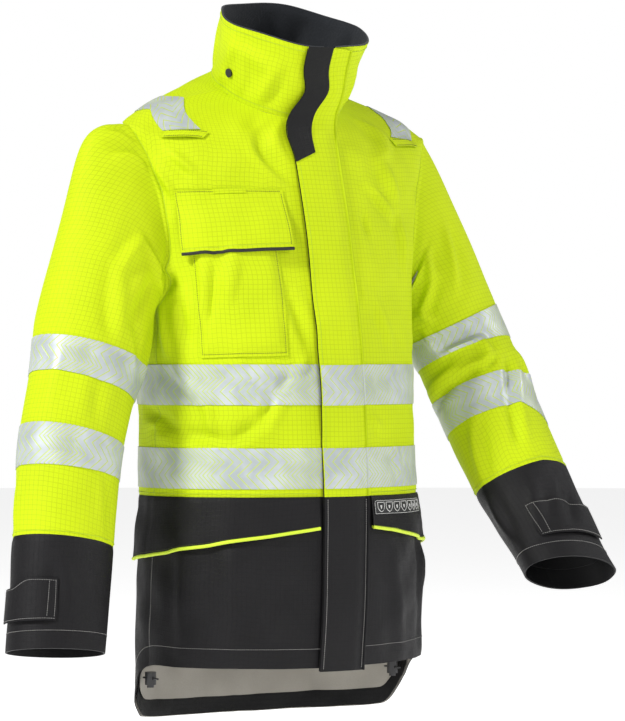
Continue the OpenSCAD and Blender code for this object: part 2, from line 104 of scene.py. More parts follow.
def curve(rows, v):
    """Smooth curve through (place, value) rows."""
    x, y = np.array(rows, float).T
    before = np.maximum(np.arange(len(x)) - 1, 0)
    after = np.minimum(np.arange(len(x)) + 1, len(x) - 1)
    m = (y[after] - y[before]) / (x[after] - x[before])
    v = np.clip(v, x[0], x[-1])
    i = np.clip(np.searchsorted(x, v, "right") - 1, 0, len(x) - 2)
    w = x[i + 1] - x[i]
    s = (v - x[i]) / w
    return ((2 * s**3 - 3 * s**2 + 1) * y[i] + (s**3 - 2 * s**2 + s) * w * m[i]
            + (3 * s**2 - 2 * s**3) * y[i + 1] + (s**3 - s**2) * w * m[i + 1])


# The bare body: (height, size) rows, and the arc that the front follows from hem to neck.
HALF_WIDTH = [(0, 199), (68, 198), (180, 193), (290, 188), (400, 185), (500, 187), (600, 195),
              (680, 209), (725, 221), (745, 226), (766, 190), (784, 137), (796, 85)]
ROUND_WIDTH = [(600, 195), (680, 204), (725, 202), (745, 191), (766, 163), (784, 122), (796, 85)]
BACK_DEPTH = [(0, 106), (68, 110), (180, 120), (290, 128), (400, 131), (500, 130), (600, 124),
              (680, 114), (745, 98), (796, 77)]
ARC_R, ARC_Z = 1672.0, 256.0
ARC_Y = ARC_R - 149.4


def front_depth(z):
    return np.sqrt(ARC_R**2 - (z - ARC_Z) ** 2) - ARC_Y


def tilt(h):
    """Drop of the front below the back at the neck."""
    return 40 * smooth((h - 600) / (NECK_H - 600))


def width_at(h, t):
    x, y = np.array(HALF_WIDTH, float).T
    side = np.where(h < 725, curve(HALF_WIDTH, h), np.interp(h, x, y))
    return np.where(h <= 600, side, mix(curve(ROUND_WIDTH, h), side, np.abs(sind(t)) ** 8))


def torso_plain(t, h):
    z = h - tilt(h) * cosd(t)
    c = cosd(t)
    y = np.where(c > 0, -front_depth(z) * c, curve(BACK_DEPTH, h) * np.abs(np.minimum(c, 0)) ** 0.85)
    return stack(width_at(h, t) * np.sign(sind(t)) * np.abs(sind(t)) ** 0.97, y, z)


FOLD = 2.1  # scale of all the folds


def folds(rows, a, b):
    """Sum of cloth folds: each row runs from (a0, b0) to (a1, b1) with a width and a height."""
    total = np.zeros(np.broadcast(a, b).shape)
    for a0, b0, a1, b1, wide, high in rows:
        da, db = a1 - a0, b1 - b0
        long2 = da * da + db * db
        s = np.clip(((a - a0) * da + (b - b0) * db) / long2, 0, 1)
        d = ((a - a0) * db - (b - b0) * da) / math.sqrt(long2)
        away = np.hypot(a - a0 - s * da, b - b0 - s * db)
        taper = np.sin(math.pi * np.clip(s, 0.04, 0.96)) ** 0.7
        hollow = 0.45 * np.exp(-((away - 1.7 * wide) / wide) ** 2) * np.sign(high)
        total += taper * (high * np.exp(-(away / wide) ** 2) - abs(high) * hollow * (d > 0))
    return FOLD * total


def ripple(a, b, size, seed):
    """Soft unevenness of hung cloth, as a few crossed waves."""
    r = np.random.default_rng(seed)
    total = 0
    for i in range(9):
        k = 2 * math.pi / r.uniform(45, 170)
        way = r.uniform(0, math.pi)
        part, late = r.uniform(0.4, 1), r.uniform(0, 6.3)
        total = total + part * np.sin(k * (a * math.cos(way) + b * math.sin(way)) + late)
    return size * total / 3


# Folds of the body, in millimetres round the body (3.2 per degree) and up it.
ROUND_MM = 3.2
BODY_FOLDS = [
    (-262, 585, -226, 560, 7, 3.2), (-226, 562, -262, 535, 8, -3.0), (-268, 525, -254, 455, 9, 2.8),
    (-224, 530, -216, 474, 9, -2.2), (-158, 580, -180, 486, 8, -2.6), (-128, 590, -148, 522, 8, 2.2),
    (-64, 536, -38, 462, 7, -3.4), (-50, 540, -26, 480, 6, 2.4), (-150, 796, -96, 776, 8, -2.4),
    (-96, 776, -32, 686, 7, -3.8), (-80, 792, -28, 716, 7, 3.0), (-205, 726, -164, 698, 8, 3.0),
    (-232, 700, -206, 660, 8, 2.4), (179, 784, 102, 736, 11, 3.6), (102, 736, 124, 660, 11, 3.4),
    (51, 650, 60, 612, 6, -3.6), (70, 690, 118, 638, 7, 2.8), (128, 650, 150, 560, 9, 2.6),
    (38, 565, 46, 524, 6, 2.4), (60, 540, 96, 468, 9, 2.0), (-316, 396, -230, 366, 9, -3.4),
    (-300, 382, -272, 375, 6, 2.6), (-230, 366, -152, 357, 9, -3.8), (-152, 357, -112, 378, 9, -3.6),
    (-112, 378, -92, 414, 8, -3.6), (-92, 414, -62, 446, 8, -3.2), (-134, 446, -108, 398, 8, 2.6),
    (-64, 436, -44, 462, 6, 3.0), (-244, 450, -186, 398, 8, 2.6), (-186, 402, -178, 362, 8, 3.0),
    (38, 390, 60, 368, 6, 3.0), (84, 350, 100, 304, 8, 2.4), (62, 440, 50, 400, 8, -2.0),
    (-150, 240, -140, 90, 16, 2.4), (-80, 206, -95, 100, 13, 1.8), (80, 230, 100, 90, 13, 2.0),
    (170, 260, 205, 160, 10, 2.4), (200, 250, 185, 90, 12, 2.0), (-225, 230, -215, 100, 12, 2.0),
    (330, 620, 420, 560, 12, 3.0), (-330, 640, -430, 560, 12, 3.0), (360, 700, 470, 690, 12, 2.6),
    (-370, 700, -480, 700, 12, 2.6), (390, 520, 400, 380, 14, 2.6), (-400, 500, -380, 380, 14, 2.6),
    (470, 240, 465, 40, 16, 2.8), (-470, 250, -480, 40, 16, 2.8), (545, 250, 548, 30, 14, 2.4),
    (520, 470, 430, 330, 12, 2.2), (-520, 460, -440, 330, 12, 2.2), (500, 775, 430, 745, 10, 2.0),
]
# Where the storm flap's edge waves: (height, half height, amount).
FLAP_WAVES = [(640, 60, 1.0), (560, 34, -1.6), (520, 20, 1.6), (452, 30, 1.8), (372, 24, -1.6),
              (150, 60, 0.8)]
SEAM_DIP = 1.1  # how far cloth sinks at a seam
# Armhole: how far it cuts into front and back, in degrees, its middle and half height.
FRONT_CUT, REAR_CUT = 17.0, 35.0
ARM_H, ARM_RZ = 632.0, 112.0


def torso_folded(t, h):
    p = torso_plain(t, h)
    n = unit(np.cross(torso_plain(t + 0.5, h) - torso_plain(t - 0.5, h),
                      torso_plain(t, h) - torso_plain(t, h - 1)))
    a = t * ROUND_MM
    centre = smooth((np.abs(t) - 9) / 16)
    rise = folds(BODY_FOLDS, a, h) + ripple(a, h, 1.5, 3)
    rise = rise * mix(0.25, 1, centre) * smooth((NECK_H - h) / 40 + 0.2)
    waist_seam = np.exp(-(((h - WAIST_H) / 3.0) ** 2))
    side_seam = np.exp(-(((np.abs(t) - 90) * 3 / 2.6) ** 2)) * (h < 560)
    dip = waist_seam + side_seam
    return p + n * (rise - SEAM_DIP * dip)[..., None]


def lengths(p, axis):
    """Distance along a grid of points, from its middle."""
    step = np.linalg.norm(np.diff(p, axis=axis), axis=-1)
    total = np.concatenate([np.zeros_like(step.take([0], axis)), np.cumsum(step, axis)], axis)
    return total - total.take([total.shape[axis] // 2], axis)


class Surface:
    """A cloth face sampled on a fine grid. at() gives points a distance outside it, or, with
    None for the distance, their places on the cloth laid flat."""

    def __init__(self, points, us, vs, flip=1.0):
        self.us, self.vs = us, vs
        p = points(*np.meshgrid(us, vs, indexing="ij"))
        du = np.gradient(p, axis=0)
        if np.allclose(p[0], p[-1], atol=0.01):
            du[0] = du[-1] = (p[1] - p[-2]) / 2
        self.p = p
        self.n = unit(np.cross(du, np.gradient(p, axis=1))) * flip
        self.flat = np.stack([lengths(p, 0), lengths(p, 1)], -1)

    def at(self, u, v, off=0.0):
        u, v = np.broadcast_arrays(np.asarray(u, float), np.asarray(v, float))
        i = np.clip((u - self.us[0]) / (self.us[1] - self.us[0]), 0, len(self.us) - 1.001)
        j = np.clip((v - self.vs[0]) / (self.vs[1] - self.vs[0]), 0, len(self.vs) - 1.001)
        i0, j0 = i.astype(int), j.astype(int)
        a, b = (i - i0)[..., None], (j - j0)[..., None]

        def pick(g):
            low, high = mix(g[i0, j0], g[i0 + 1, j0], a), mix(g[i0, j0 + 1], g[i0 + 1, j0 + 1], a)
            return mix(low, high, b)
        if off is None:
            return pick(self.flat)
        return pick(self.p) + np.asarray(off, float)[..., None] * unit(pick(self.n))


body_face = Surface(torso_folded, np.arange(-180, 180.1, 1.0), np.linspace(0, NECK_H, 280))


def torso(t, h, off=0.0):
    """Point on the body: t degrees round it (0 front, 90 the wearer's left) and h up it."""
    return body_face.at(half_turn(t), h, off)


def angle_of(x, h):
    """Angle at which the front lies a distance x from the centre."""
    return np.degrees(np.arcsin(x / width_at(h, np.full_like(h, 5.0))))


# Sleeves: centre points and half sizes [x, y, z, across, deep] along each arm.
RIGHT_PATH = [(-203, 15, 632, 112, 58), (-255, 8, 552, 85, 66), (-288, -5, 454, 72, 57),
              (-324, -25, 340, 67, 53), (-343, -42, 237, 65, 52), (-368, -65, 104, 64, 50)]
LEFT_PATH = [(203, 15, 632, 112, 58), (243, 12, 566, 76, 64), (279, 0, 493, 70, 57),
             (301, -40, 401, 68, 54), (314, -95, 304, 66, 52), (343, -165, 182, 71, 50)]
PATH_S = [0, 0.16, 0.35, 0.57, 0.76, 1]
CUFF_S = 0.765
ARM_MM, ARM_LONG = 1.12, 640.0
# Folds of the sleeves, in millimetres round the arm (0 front, 100 outside) and down it.
RIGHT_FOLDS = [
    (39, 16, 62, 66, 7, 4.2), (62, 14, 86, 44, 6, 3.0), (-55, 88, 3, 98, 7, 3.2),
    (3, 98, 17, 136, 7, 3.4), (17, 130, -9, 206, 9, 3.2), (-30, 110, -14, 170, 8, -3.4),
    (-21, 168, -44, 214, 7, -3.4),
    (-28, 400, -34, 482, 8, -2.6), (104, 400, 112, 486, 9, 2.6), (60, 230, 66, 330, 12, 1.4),
    (10, 250, 4, 330, 10, -1.4), (200, 200, 190, 330, 13, 2.2), (170, 380, 185, 480, 12, 2.0),
    (150, 60, 160, 180, 12, 2.8), (-90, 120, -70, 260, 12, 2.8), (30, 520, 10, 600, 10, 1.4),
]
LEFT_FOLDS = [
    (-80, 84, -19, 82, 7, 3.6), (-19, 84, -27, 117, 7, 3.4), (-27, 113, -61, 150, 8, 3.8),
    (-61, 146, -56, 174, 7, 3.2), (24, 92, -8, 152, 8, 3.4), (-85, 138, -125, 196, 9, -4.0),
    (-69, 192, -60, 272, 6, 4.4), (-60, 268, -2, 266, 7, 3.8), (-4, 266, 2, 302, 7, 3.4),
    (2, 298, -22, 328, 7, 3.0), (-128, 352, -49, 331, 8, -3.8), (-49, 331, -3, 321, 8, -3.2),
    (-120, 322, -40, 302, 9, 2.8), (28, 318, 3, 390, 8, -4.4), (3, 386, -14, 466, 8, -3.4),
    (-52, 395, -85, 486, 8, 2.8), (50, 300, 60, 380, 8, 3.0), (-20, 520, -50, 600, 10, 2.4),
    (30, 530, 0, 590, 9, -2.2), (-90, 500, -100, 590, 10, 2.0), (180, 200, 170, 330, 13, 2.4),
    (160, 380, 175, 500, 12, 2.2), (-150, 120, -150, 260, 12, 2.4),
]
# By side: slip of the bands at the bent elbow, fullness of the sleeve head, slant of the cuff.
SLIP = {-1: 0.0, 1: 0.05}
HEAD = {-1: 26.0, 1: -6.0}
SHEAR = {-1: 6.0, 1: 26.0}


def armhole(f, side, wider=0.0, higher=0.0, off=0.0):
    cut = np.where(cosd(f) > 0, -FRONT_CUT - wider, REAR_CUT + wider)
    return torso(side * (90 + cut * np.abs(cosd(f))), ARM_H + (ARM_RZ + higher) * sind(f), off)


def sleeve_points(path, side, rows):
    def axis(k, s):
        return curve([(PATH_S[i], path[i][k]) for i in range(6)], s)

    def centre(s):
        return stack(axis(0, s), axis(1, s), axis(2, s))

    def points(f, s):
        s = s + SLIP[side] * np.maximum(0, cosd(f - 100)) * np.exp(-(((s - 0.62) / 0.14) ** 2))
        t = unit(centre(np.minimum(s + 0.02, 1)) - centre(np.maximum(s - 0.02, 0)))
        front = unit(np.cross(t, np.array([side, 0, 0.35])) * side)
        out = unit(np.cross(front, t) * side)
        across, deep = axis(3, s)[..., None], axis(4, s)[..., None]
        ring = centre(s) + out * across * sind(f)[..., None] + front * deep * cosd(f)[..., None]
        push = stack(side * (mix(-3, 0.8, smooth(s / 0.02)) + 90 * s), 0 * s, 0 * s)
        p = mix(armhole(f, side) + push, ring, smooth(s / 0.3)[..., None])
        full = HEAD[side] * np.exp(-(((s - 0.09) / 0.075) ** 2)) * smooth(s / 0.04)
        full = full * np.maximum(0, cosd(f - 115))
        drop = SHEAR[side] * sind(f) * smooth((s - 0.72) / 0.28)
        p = p + stack(side * full, 0 * s, 0.3 * full - drop)
        away = unit(p - centre(s) + side * 0.001)
        a, b = half_turn(f) * ARM_MM, s * ARM_LONG
        rise = folds(rows, a, b) + folds(rows, a + 360 * ARM_MM, b)
        rise = rise * smooth(s / 0.03) * smooth((1.02 - s) / 0.06)
        rise = rise + 0.9 * ripple(60 * cosd(f), 60 * sind(f) + b, 1.0, 5 + side) * smooth(s / 0.06)
        rise = rise - SEAM_DIP * np.exp(-(((s - CUFF_S) * ARM_LONG / 3.0) ** 2))
        rise = rise + 2.4 * np.exp(-((s - 0.012) / 0.012) ** 2)
        return p + away * rise[..., None]
    return points


ARMS = {"right": (-1, RIGHT_PATH, RIGHT_FOLDS), "left": (1, LEFT_PATH, LEFT_FOLDS)}
arm_face = {}
for name, (side, path, rows) in ARMS.items():
    arm_face[name] = Surface(sleeve_points(path, side, rows), np.arange(-180, 181.0, 2.5),
                             np.linspace(0, 1, 220), flip=-side)


def sleeve(arm, f, s, off=0.0):
    """Point on a sleeve: f degrees round it (0 front, 90 outside) and s down it, from 0 to 1."""
    return arm_face[arm].at(half_turn(f), s, off)


# Collar: folds as on the body, and the snaps, round which the cloth lies flat.
SNAPS = (-82, 82, 180, -180)
COLLAR_MM, COLLAR_HIGH = 1.6, 88.0
COLLAR_FOLDS = [(-150, 0, -128, 70, 10, 3.0), (-105, 5, -112, 60, 8, 2.2), (-80, 0, -60, 55, 8, 2.4),
                (90, 0, 70, 60, 9, 2.6), (140, 10, 150, 80, 11, 2.6), (-215, 0, -205, 80, 14, 2.6),
                (220, 10, 230, 80, 14, 2.4), (-60, 50, -130, 62, 9, 1.6)]


def collar_points(t, w):
    b = torso_plain(t, np.full_like(w, NECK_H))
    rim = stack(100 * sind(t), -38 - 78 * cosd(t), 878 - 34 * cosd(t) + 1.5 * np.sin(np.radians(5 * t)))
    bow = 1.2 * np.sin(math.pi * w)
    p = mix(b, rim, w[..., None]) + stack(-bow * sind(t), bow * cosd(t), 0)
    out = unit(stack(sind(t), -cosd(t), 0 * t))
    a, b = t * COLLAR_MM, w * COLLAR_HIGH
    rise = folds(COLLAR_FOLDS, a, b) + ripple(a, b, 0.9, 21)
    rise = rise * smooth((180 - np.abs(t)) / 8) * smooth((np.abs(t) - 6) / 22) * smooth(w / 0.2)
    for snap in SNAPS:
        near = ((a - snap * COLLAR_MM) / 16) ** 2 + ((w - 0.3) * COLLAR_HIGH / 16) ** 2
        rise = rise * (1 - np.exp(-near))
    return p + out * rise[..., None]


collar_face = Surface(collar_points, np.arange(-180, 180.1, 2.0), np.linspace(0, 1, 30))


def collar(t, w, off=0.0):
    return collar_face.at(half_turn(t), w, off)


def profile(z):
    """Depth of the centre front, rounded over from the chest to the collar."""
    d, c = front_depth(z), 75 + 0.436 * (z - 750)
    return (d + c + np.sqrt((d - c) ** 2 + 64)) / 2


def flap(x, z, off=0.0):
    """Point on the storm flap's ground, with the bend that its edge makes at the throat."""
    x, z = np.broadcast_arrays(np.asarray(x, float), np.asarray(z, float))
    k = mix(0.002, 0.004, smooth((z - 740) / 30))
    s = (profile(z + 1) - profile(z - 1)) / 2
    n = unit(stack(2 * k * x, -1 + 0 * x, s))
    shift = -8 * np.exp(-(((z - 742) / 22) ** 2)) * smooth((20 - x) / 50)
    rise = 13 * np.exp(-(((z - 788) / 18) ** 2)) + 3 * smooth((z - 780) / 30)
    shift = shift + rise * smooth((60 - x) / 80)
    wave = sum(high * np.exp(-(((z - at - 0.7 * x) / wide) ** 2)) for at, wide, high in FLAP_WAVES)
    rise = np.asarray(off, float) + wave * (0.4 + smooth(-x / 34)) + 0.25 * np.sin(z / 19)
    return stack(x + shift, -profile(z) + k * x * x, z) + rise[..., None] * n


# --- meshes
SHARP_ANGLE = math.radians(65)
BLENDS = {}  # body: where its cloth starts and ends bending from the coat


def to_frame(p):
    return (np.asarray(p, float) - ORIGIN) * MM


def add_mesh(name, verts, faces, mats, body, replaces=None, slot=None, uv=None, index=None):
    mesh = bpy.data.meshes.new(name)
    mesh.from_pydata(np.asarray(verts, float).tolist(), [], faces)
    for m in mats:
        mesh.materials.append(m)
    if uv is not None:
        layer = mesh.uv_layers.new(name="cloth")
        loops = np.zeros(len(mesh.loops), np.int32)
        mesh.loops.foreach_get("vertex_index", loops)
        layer.data.foreach_set("uv", np.asarray(uv, np.float32)[loops].ravel())
    if index is not None:
        mesh.polygons.foreach_set("material_index", np.asarray(index, np.int32))
    mesh.polygons.foreach_set("use_smooth", np.ones(len(mesh.polygons), bool))
    mesh.update()
    mesh.set_sharp_from_angle(angle=SHARP_ANGLE)
    obj = bpy.data.objects.new(name, mesh)
    bpy.context.collection.objects.link(obj)
    if body in BLENDS:
        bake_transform(obj)
    else:
        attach(obj, body)
    if replaces:
        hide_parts(replaces)
    return obj


def sheet(name, points, nu, nv, mats, replaces, slot, body="coat", lo=-CLOTH, hi=0.0, wrap=False,
          swap=False, flat_of=None):
    """A closed thin sheet from lo to hi outside points(u, v, off), for u and v from 0 to 1.
    mats are outside and inside; flat_of gives places on the cloth laid flat."""
    cols = nu if wrap else nu + 1
    u, v = np.meshgrid(np.arange(cols) / nu, np.arange(nv + 1) / nv, indexing="ij")
    inner, outer = (points(u, v, np.full(u.shape, float(off))) for off in (lo, hi))
    verts = to_frame(np.concatenate([inner.reshape(-1, 3), outer.reshape(-1, 3)]))
    w, side = nv + 1, cols * (nv + 1)
    i, j = np.meshgrid(np.arange(nu), np.arange(nv), indexing="ij")
    i, j, i1 = i.ravel(), j.ravel(), ((i.ravel() + 1) % cols)
    top = np.stack([i * w + j, i1 * w + j, i1 * w + j + 1, i * w + j + 1], -1) + side
    low = top[:, ::-1] - side
    e, e1, z = np.arange(nu), (np.arange(nu) + 1) % cols, 0 * np.arange(nu)
    edges = [np.stack([e * w, e1 * w, e1 * w + side, e * w + side], -1),
             np.stack([e * w + nv + side, e1 * w + nv + side, e1 * w + nv, e * w + nv], -1)]
    if not wrap:
        f = np.arange(nv)
        edges.append(np.stack([f + 1, f, f + side, f + 1 + side], -1))
        g = f + nu * w
        edges.append(np.stack([g, g + 1, g + 1 + side, g + side], -1))
    quads = np.concatenate([top, low] + edges)
    a, b, c = outer[0, 0], outer[min(1, cols - 1), 0], outer[0, 1]
    if np.dot(np.cross(b - a, c - a), outer[0, 0] - inner[0, 0]) < 0:
        quads = quads[:, ::-1]
    index = np.zeros(len(quads), int)
    if len(mats) > 1:
        index[len(top):len(top) + len(low)] = 1
    flat = np.stack([lengths(outer, 0), lengths(outer, 1)], -1) if flat_of is None else flat_of(u, v)
    flat = flat.reshape(-1, 2) * MM
    if swap:
        flat = flat[:, ::-1]
    uv = np.concatenate([flat, flat])
    return add_mesh(name, verts, quads.tolist(), mats, body, replaces, slot, uv, index)


def tube(points, radius, sides, flat=1.0):
    """Vertices and faces of a capped tube along points, in millimetres."""
    p = np.asarray(points, float)
    t = unit(np.gradient(p, axis=0))
    ref = np.array([0.0, 0.0, 1.0]) if abs(t[0][2]) < 0.9 else np.array([1.0, 0.0, 0.0])
    a = unit(np.cross(t, ref))[:, None]
    b = np.cross(t, a[:, 0])[:, None]
    r = np.broadcast_to(np.asarray(radius, float), (len(p),))[:, None, None]
    ang = np.linspace(0, 2 * math.pi, sides, endpoint=False)[None, :, None]
    ring = p[:, None] + r * (np.cos(ang) * a + flat * np.sin(ang) * b)
    n = len(p)
    steps = [(i * sides, k, (k + 1) % sides) for i in range(n - 1) for k in range(sides)]
    faces = [[i + k, i + k1, i + sides + k1, i + sides + k] for i, k, k1 in steps]
    faces += [list(range(sides))[::-1], [(n - 1) * sides + k for k in range(sides)]]
    return ring.reshape(-1, 3), faces


class Bunch:
    """Many small solids gathered into one piece."""

    def __init__(self):
        self.verts, self.faces, self.count = [], [], 0

    def add(self, verts, faces):
        self.verts.append(np.asarray(verts, float))
        self.faces += [[i + self.count for i in f] for f in faces]
        self.count += len(verts)

    def piece(self, name, mat, body, **more):
        return add_mesh(name, to_frame(np.concatenate(self.verts)), self.faces, [mat], body, **more)


def cord_piece(name, lines, mat, body, sides=10, **more):
    """One piece of round cord: lines holds (points, radius) pairs."""
    bunch = Bunch()
    for line, radius in lines:
        bunch.add(*tube(line, radius, sides))
    bunch.piece(name, mat, body, **more)


stitch_rows = {}  # (body, thread): all its stitches
STITCH_LONG, STITCH_GAP, STITCH_WIDE, STITCH_HIGH = 2.1, 0.6, 0.55, 0.45
BOX_FACES = [[0, 1, 2, 3], [1, 5, 4, 0], [2, 6, 5, 1], [3, 7, 6, 2], [0, 4, 7, 3], [7, 6, 5, 4]]


def stitch(line, normals, body, kind):
    """Thread along a line on the cloth: one small raised solid for each stitch."""
    line, normals = np.asarray(line, float), np.asarray(normals, float)
    far = np.concatenate([[0], np.cumsum(np.linalg.norm(np.diff(line, axis=0), axis=1))])
    bunch = stitch_rows.setdefault((body, kind), Bunch())
    pitch = STITCH_LONG + STITCH_GAP
    for k in range(int(far[-1] / pitch)):
        ends = [k * pitch + STITCH_GAP / 2, (k + 1) * pitch - STITCH_GAP / 2]
        p = np.stack([np.interp(ends, far, line[:, c]) for c in range(3)], -1)
        n = unit(np.array([np.interp(ends[0], far, normals[:, c]) for c in range(3)]))
        t = unit(p[1] - p[0])
        s = np.cross(t, n) * STITCH_WIDE / 2
        base = [p[0] - s, p[0] + s, p[1] + s, p[1] - s]
        top = [q * 0.8 + (p[0] + p[1]) / 2 * 0.2 + n * STITCH_HIGH for q in base]
        low = [q - n * 0.3 for q in base]
        bunch.add(top + low, BOX_FACES)


def stitch_on(points, a, b, n, body="coat", kind="yellow", off=0.0):
    """Stitches on a surface from place a to place b, or along the functions a (u) and b (v)."""
    s = np.linspace(0, 1, n)
    u = a(s) if callable(a) else mix(a[0], b[0], s)
    v = b(s) if callable(b) else mix(a[1], b[1], s)
    p0, p1 = points(u, v, np.full(n, off)), points(u, v, np.full(n, off + 1.0))
    stitch(p0, p1 - p0, body, kind)


# --- materials
class Nodes:
    def __init__(self, name):
        self.mat = bpy.data.materials.new(name)
        self.mat.use_nodes = True
        self.tree = self.mat.node_tree
        self.shader = self.tree.nodes["Principled BSDF"]

    def add(self, kind, inputs=(), out=0, **attributes):
        node = self.tree.nodes.new(kind)
        for key, value in attributes.items():
            setattr(node, key, value)
        for socket, value in (inputs.items() if isinstance(inputs, dict) else enumerate(inputs)):
            if isinstance(value, bpy.types.NodeSocket):
                self.tree.links.new(value, node.inputs[socket])
            else:
                node.inputs[socket].default_value = value
        return node.outputs[out]

    def math(self, operation, *values):
        return self.add("ShaderNodeMath", values, operation=operation)

    def mix(self, factor, a, b, blend="MIX"):
        node = self.tree.nodes.new("ShaderNodeMix")
        node.data_type, node.blend_type = "RGBA", blend
        for socket, value in ((0, factor), (6, a), (7, b)):
            if isinstance(value, bpy.types.NodeSocket):
                self.tree.links.new(value, node.inputs[socket])
            else:
                node.inputs[socket].default_value = value if socket == 0 else (*value[:3], 1)
        return node.outputs[2]

    def set(self, **values):
        for key, value in values.items():
            socket = self.shader.inputs[key.replace("_", " ")]
            if isinstance(value, bpy.types.NodeSocket):
                self.tree.links.new(value, socket)
            else:
                socket.default_value = value
        return self.mat

    def bump(self, height, strength, distance):
        values = {"Height": height, "Strength": strength, "Distance": distance}
        self.set(Normal=self.add("ShaderNodeBump", values))

    def flat(self):
        """Places on the cloth laid flat, in metres."""
        uv = self.add("ShaderNodeUVMap", uv_map="cloth")
        return (self.add("ShaderNodeSeparateXYZ", [uv], out=k) for k in (0, 1))

    def noise(self, scale, detail=3.0, rough=0.55):
        place = self.add("ShaderNodeTexCoord", out=3)
        values = {"Vector": place, "Scale": scale, "Detail": detail, "Roughness": rough}
        return self.add("ShaderNodeTexNoise", values)

    def scaled(self, value, low, high, to_low, to_high):
        """A value in low..high brought to to_low..to_high."""
        return self.add("ShaderNodeMapRange", [value, low, high, to_low, to_high])

    def line(self, x, pitch, width):
        """1 on lines a pitch apart, in metres, and 0 between them."""
        near = self.math("PINGPONG", self.math("DIVIDE", x, pitch), 0.5)
        return self.scaled(near, width / pitch * 0.35, width / pitch * 0.75, 1.0, 0.0)


GRID, GRID_LINE = 0.0060, 0.00055
WEAVE = 7000.0


def ripstop(name, base, dark, line, share, rough):
    """Ripstop cloth: a fine weave crossed by a grid of darker yarns, with uneven dye and lustre."""
    n = Nodes(name)
    x, y = n.flat()
    grid = n.math("MAXIMUM", n.line(x, GRID, GRID_LINE), n.line(y, GRID, GRID_LINE))
    weave = n.math("MULTIPLY", *(n.math("SINE", n.math("MULTIPLY", axis, WEAVE)) for axis in (x, y)))
    cloud, fine = n.noise(7.0), n.noise(160.0, 2.0)
    colour = n.mix(n.scaled(cloud, 0.3, 0.7, 0.0, 1.0), base, dark)
    strength = n.math("MULTIPLY", grid, n.scaled(cloud, 0.3, 0.7, share * 0.6, share))
    n.set(Base_Color=n.mix(strength, colour, line))
    n.set(Roughness=n.scaled(fine, 0.2, 0.8, rough - 0.06, rough + 0.06))
    n.set(Sheen_Weight=0.0, Sheen_Roughness=0.4, Specular_IOR_Level=0.18)
    cloth = n.math("ADD", n.math("MULTIPLY", weave, 0.25), n.math("MULTIPLY", fine, 0.5))
    n.bump(n.math("ADD", n.math("MULTIPLY", grid, 0.8), cloth), 0.35, 0.0006)
    return n.mat


def plain_cloth(name, base, dark, scale, rough, bump, sheen):
    """Knitted, woven or brushed cloth with a soft uneven face."""
    n = Nodes(name)
    cloud, fine = n.noise(14.0), n.noise(scale, 4.0, 0.7)
    colour = n.mix(n.scaled(cloud, 0.3, 0.7, 0.0, 0.6), base, dark)
    colour = n.mix(n.scaled(fine, 0.35, 0.75, 0.0, 0.5), colour, dark)
    n.set(Base_Color=colour, Roughness=rough, Sheen_Weight=sheen, Sheen_Roughness=0.5)
    n.bump(fine, bump, 0.0012)
    return n.mat


BAR_PITCH = 0.0112


def segmented_tape(name):
    """Silver reflective film cut into zigzag bars, with yellow cloth showing in the cuts.
    Along some stretches each bar has a second cut down its middle."""
    n = Nodes(name)
    x, y = n.flat()
    zig = n.math("PINGPONG", n.math("ADD", y, TAPE_W * MM / 2), TAPE_W * MM / 3)
    along = n.math("SUBTRACT", x, zig)
    bars = n.line(along, BAR_PITCH, 0.0015)
    extra = n.line(n.math("ADD", along, BAR_PITCH / 2), BAR_PITCH, 0.0012)
    zone = n.math("GREATER_THAN", n.math("SINE", n.math("MULTIPLY", along, 48.0)), 0.35)
    cuts = n.math("MAXIMUM", bars, n.math("MULTIPLY", extra, zone))
    cloud, fine = n.noise(26.0), n.noise(420.0, 2.0)
    silver = n.mix(n.scaled(cloud, 0.35, 0.65, 0.0, 1.0), (0.52, 0.56, 0.58), (0.38, 0.42, 0.44))
    n.set(Base_Color=n.mix(n.math("MULTIPLY", cuts, 0.9), silver, (0.50, 0.62, 0.05)))
    n.set(Roughness=n.scaled(fine, 0.2, 0.8, 0.34, 0.5), Metallic=0.12, Specular_IOR_Level=0.5)
    n.bump(n.math("SUBTRACT", n.math("MULTIPLY", fine, 0.3), cuts), 0.5, 0.0004)
    return n.mat


def hard(name, base, rough, metallic=0.0):
    """Moulded or enamelled part with a fine grain and slightly lighter edges, a painted highlight."""
    n = Nodes(name)
    fine, cloud = n.noise(900.0), n.noise(60.0)
    lighter = tuple(min(1.0, c * 2.2 + 0.03) for c in base)
    # Painted highlight: convex edges (Pointiness) are mixed up to 35% towards a lighter colour.
    edge = n.scaled(n.add("ShaderNodeNewGeometry", out=7), 0.5, 0.62, 0.0, 0.35)
    colour = n.mix(n.math("MULTIPLY", cloud, 0.3), base, lighter)
    n.set(Base_Color=n.mix(edge, colour, lighter), Metallic=metallic)
    n.set(Roughness=n.scaled(fine, 0.3, 0.7, rough - 0.08, rough + 0.08))
    n.bump(fine, 0.15, 0.0001)
    return n.mat


# Ripstop: colour, its darker patches, the grid's yarns, how strongly they show, roughness.
yellow = ripstop("yellow_ripstop", (0.56, 0.70, 0.004), (0.51, 0.65, 0.003), (0.24, 0.32, 0.003), 0.45, 0.7)
charcoal = ripstop("charcoal_ripstop", (0.0098, 0.0092, 0.0102), (0.007, 0.0065, 0.0074),
                   (0.004, 0.004, 0.005), 0.7, 0.5)
facing = ripstop("facing_ripstop", (0.009, 0.009, 0.0095), (0.0065, 0.0065, 0.007),
                 (0.004, 0.004, 0.004), 0.5, 0.5)
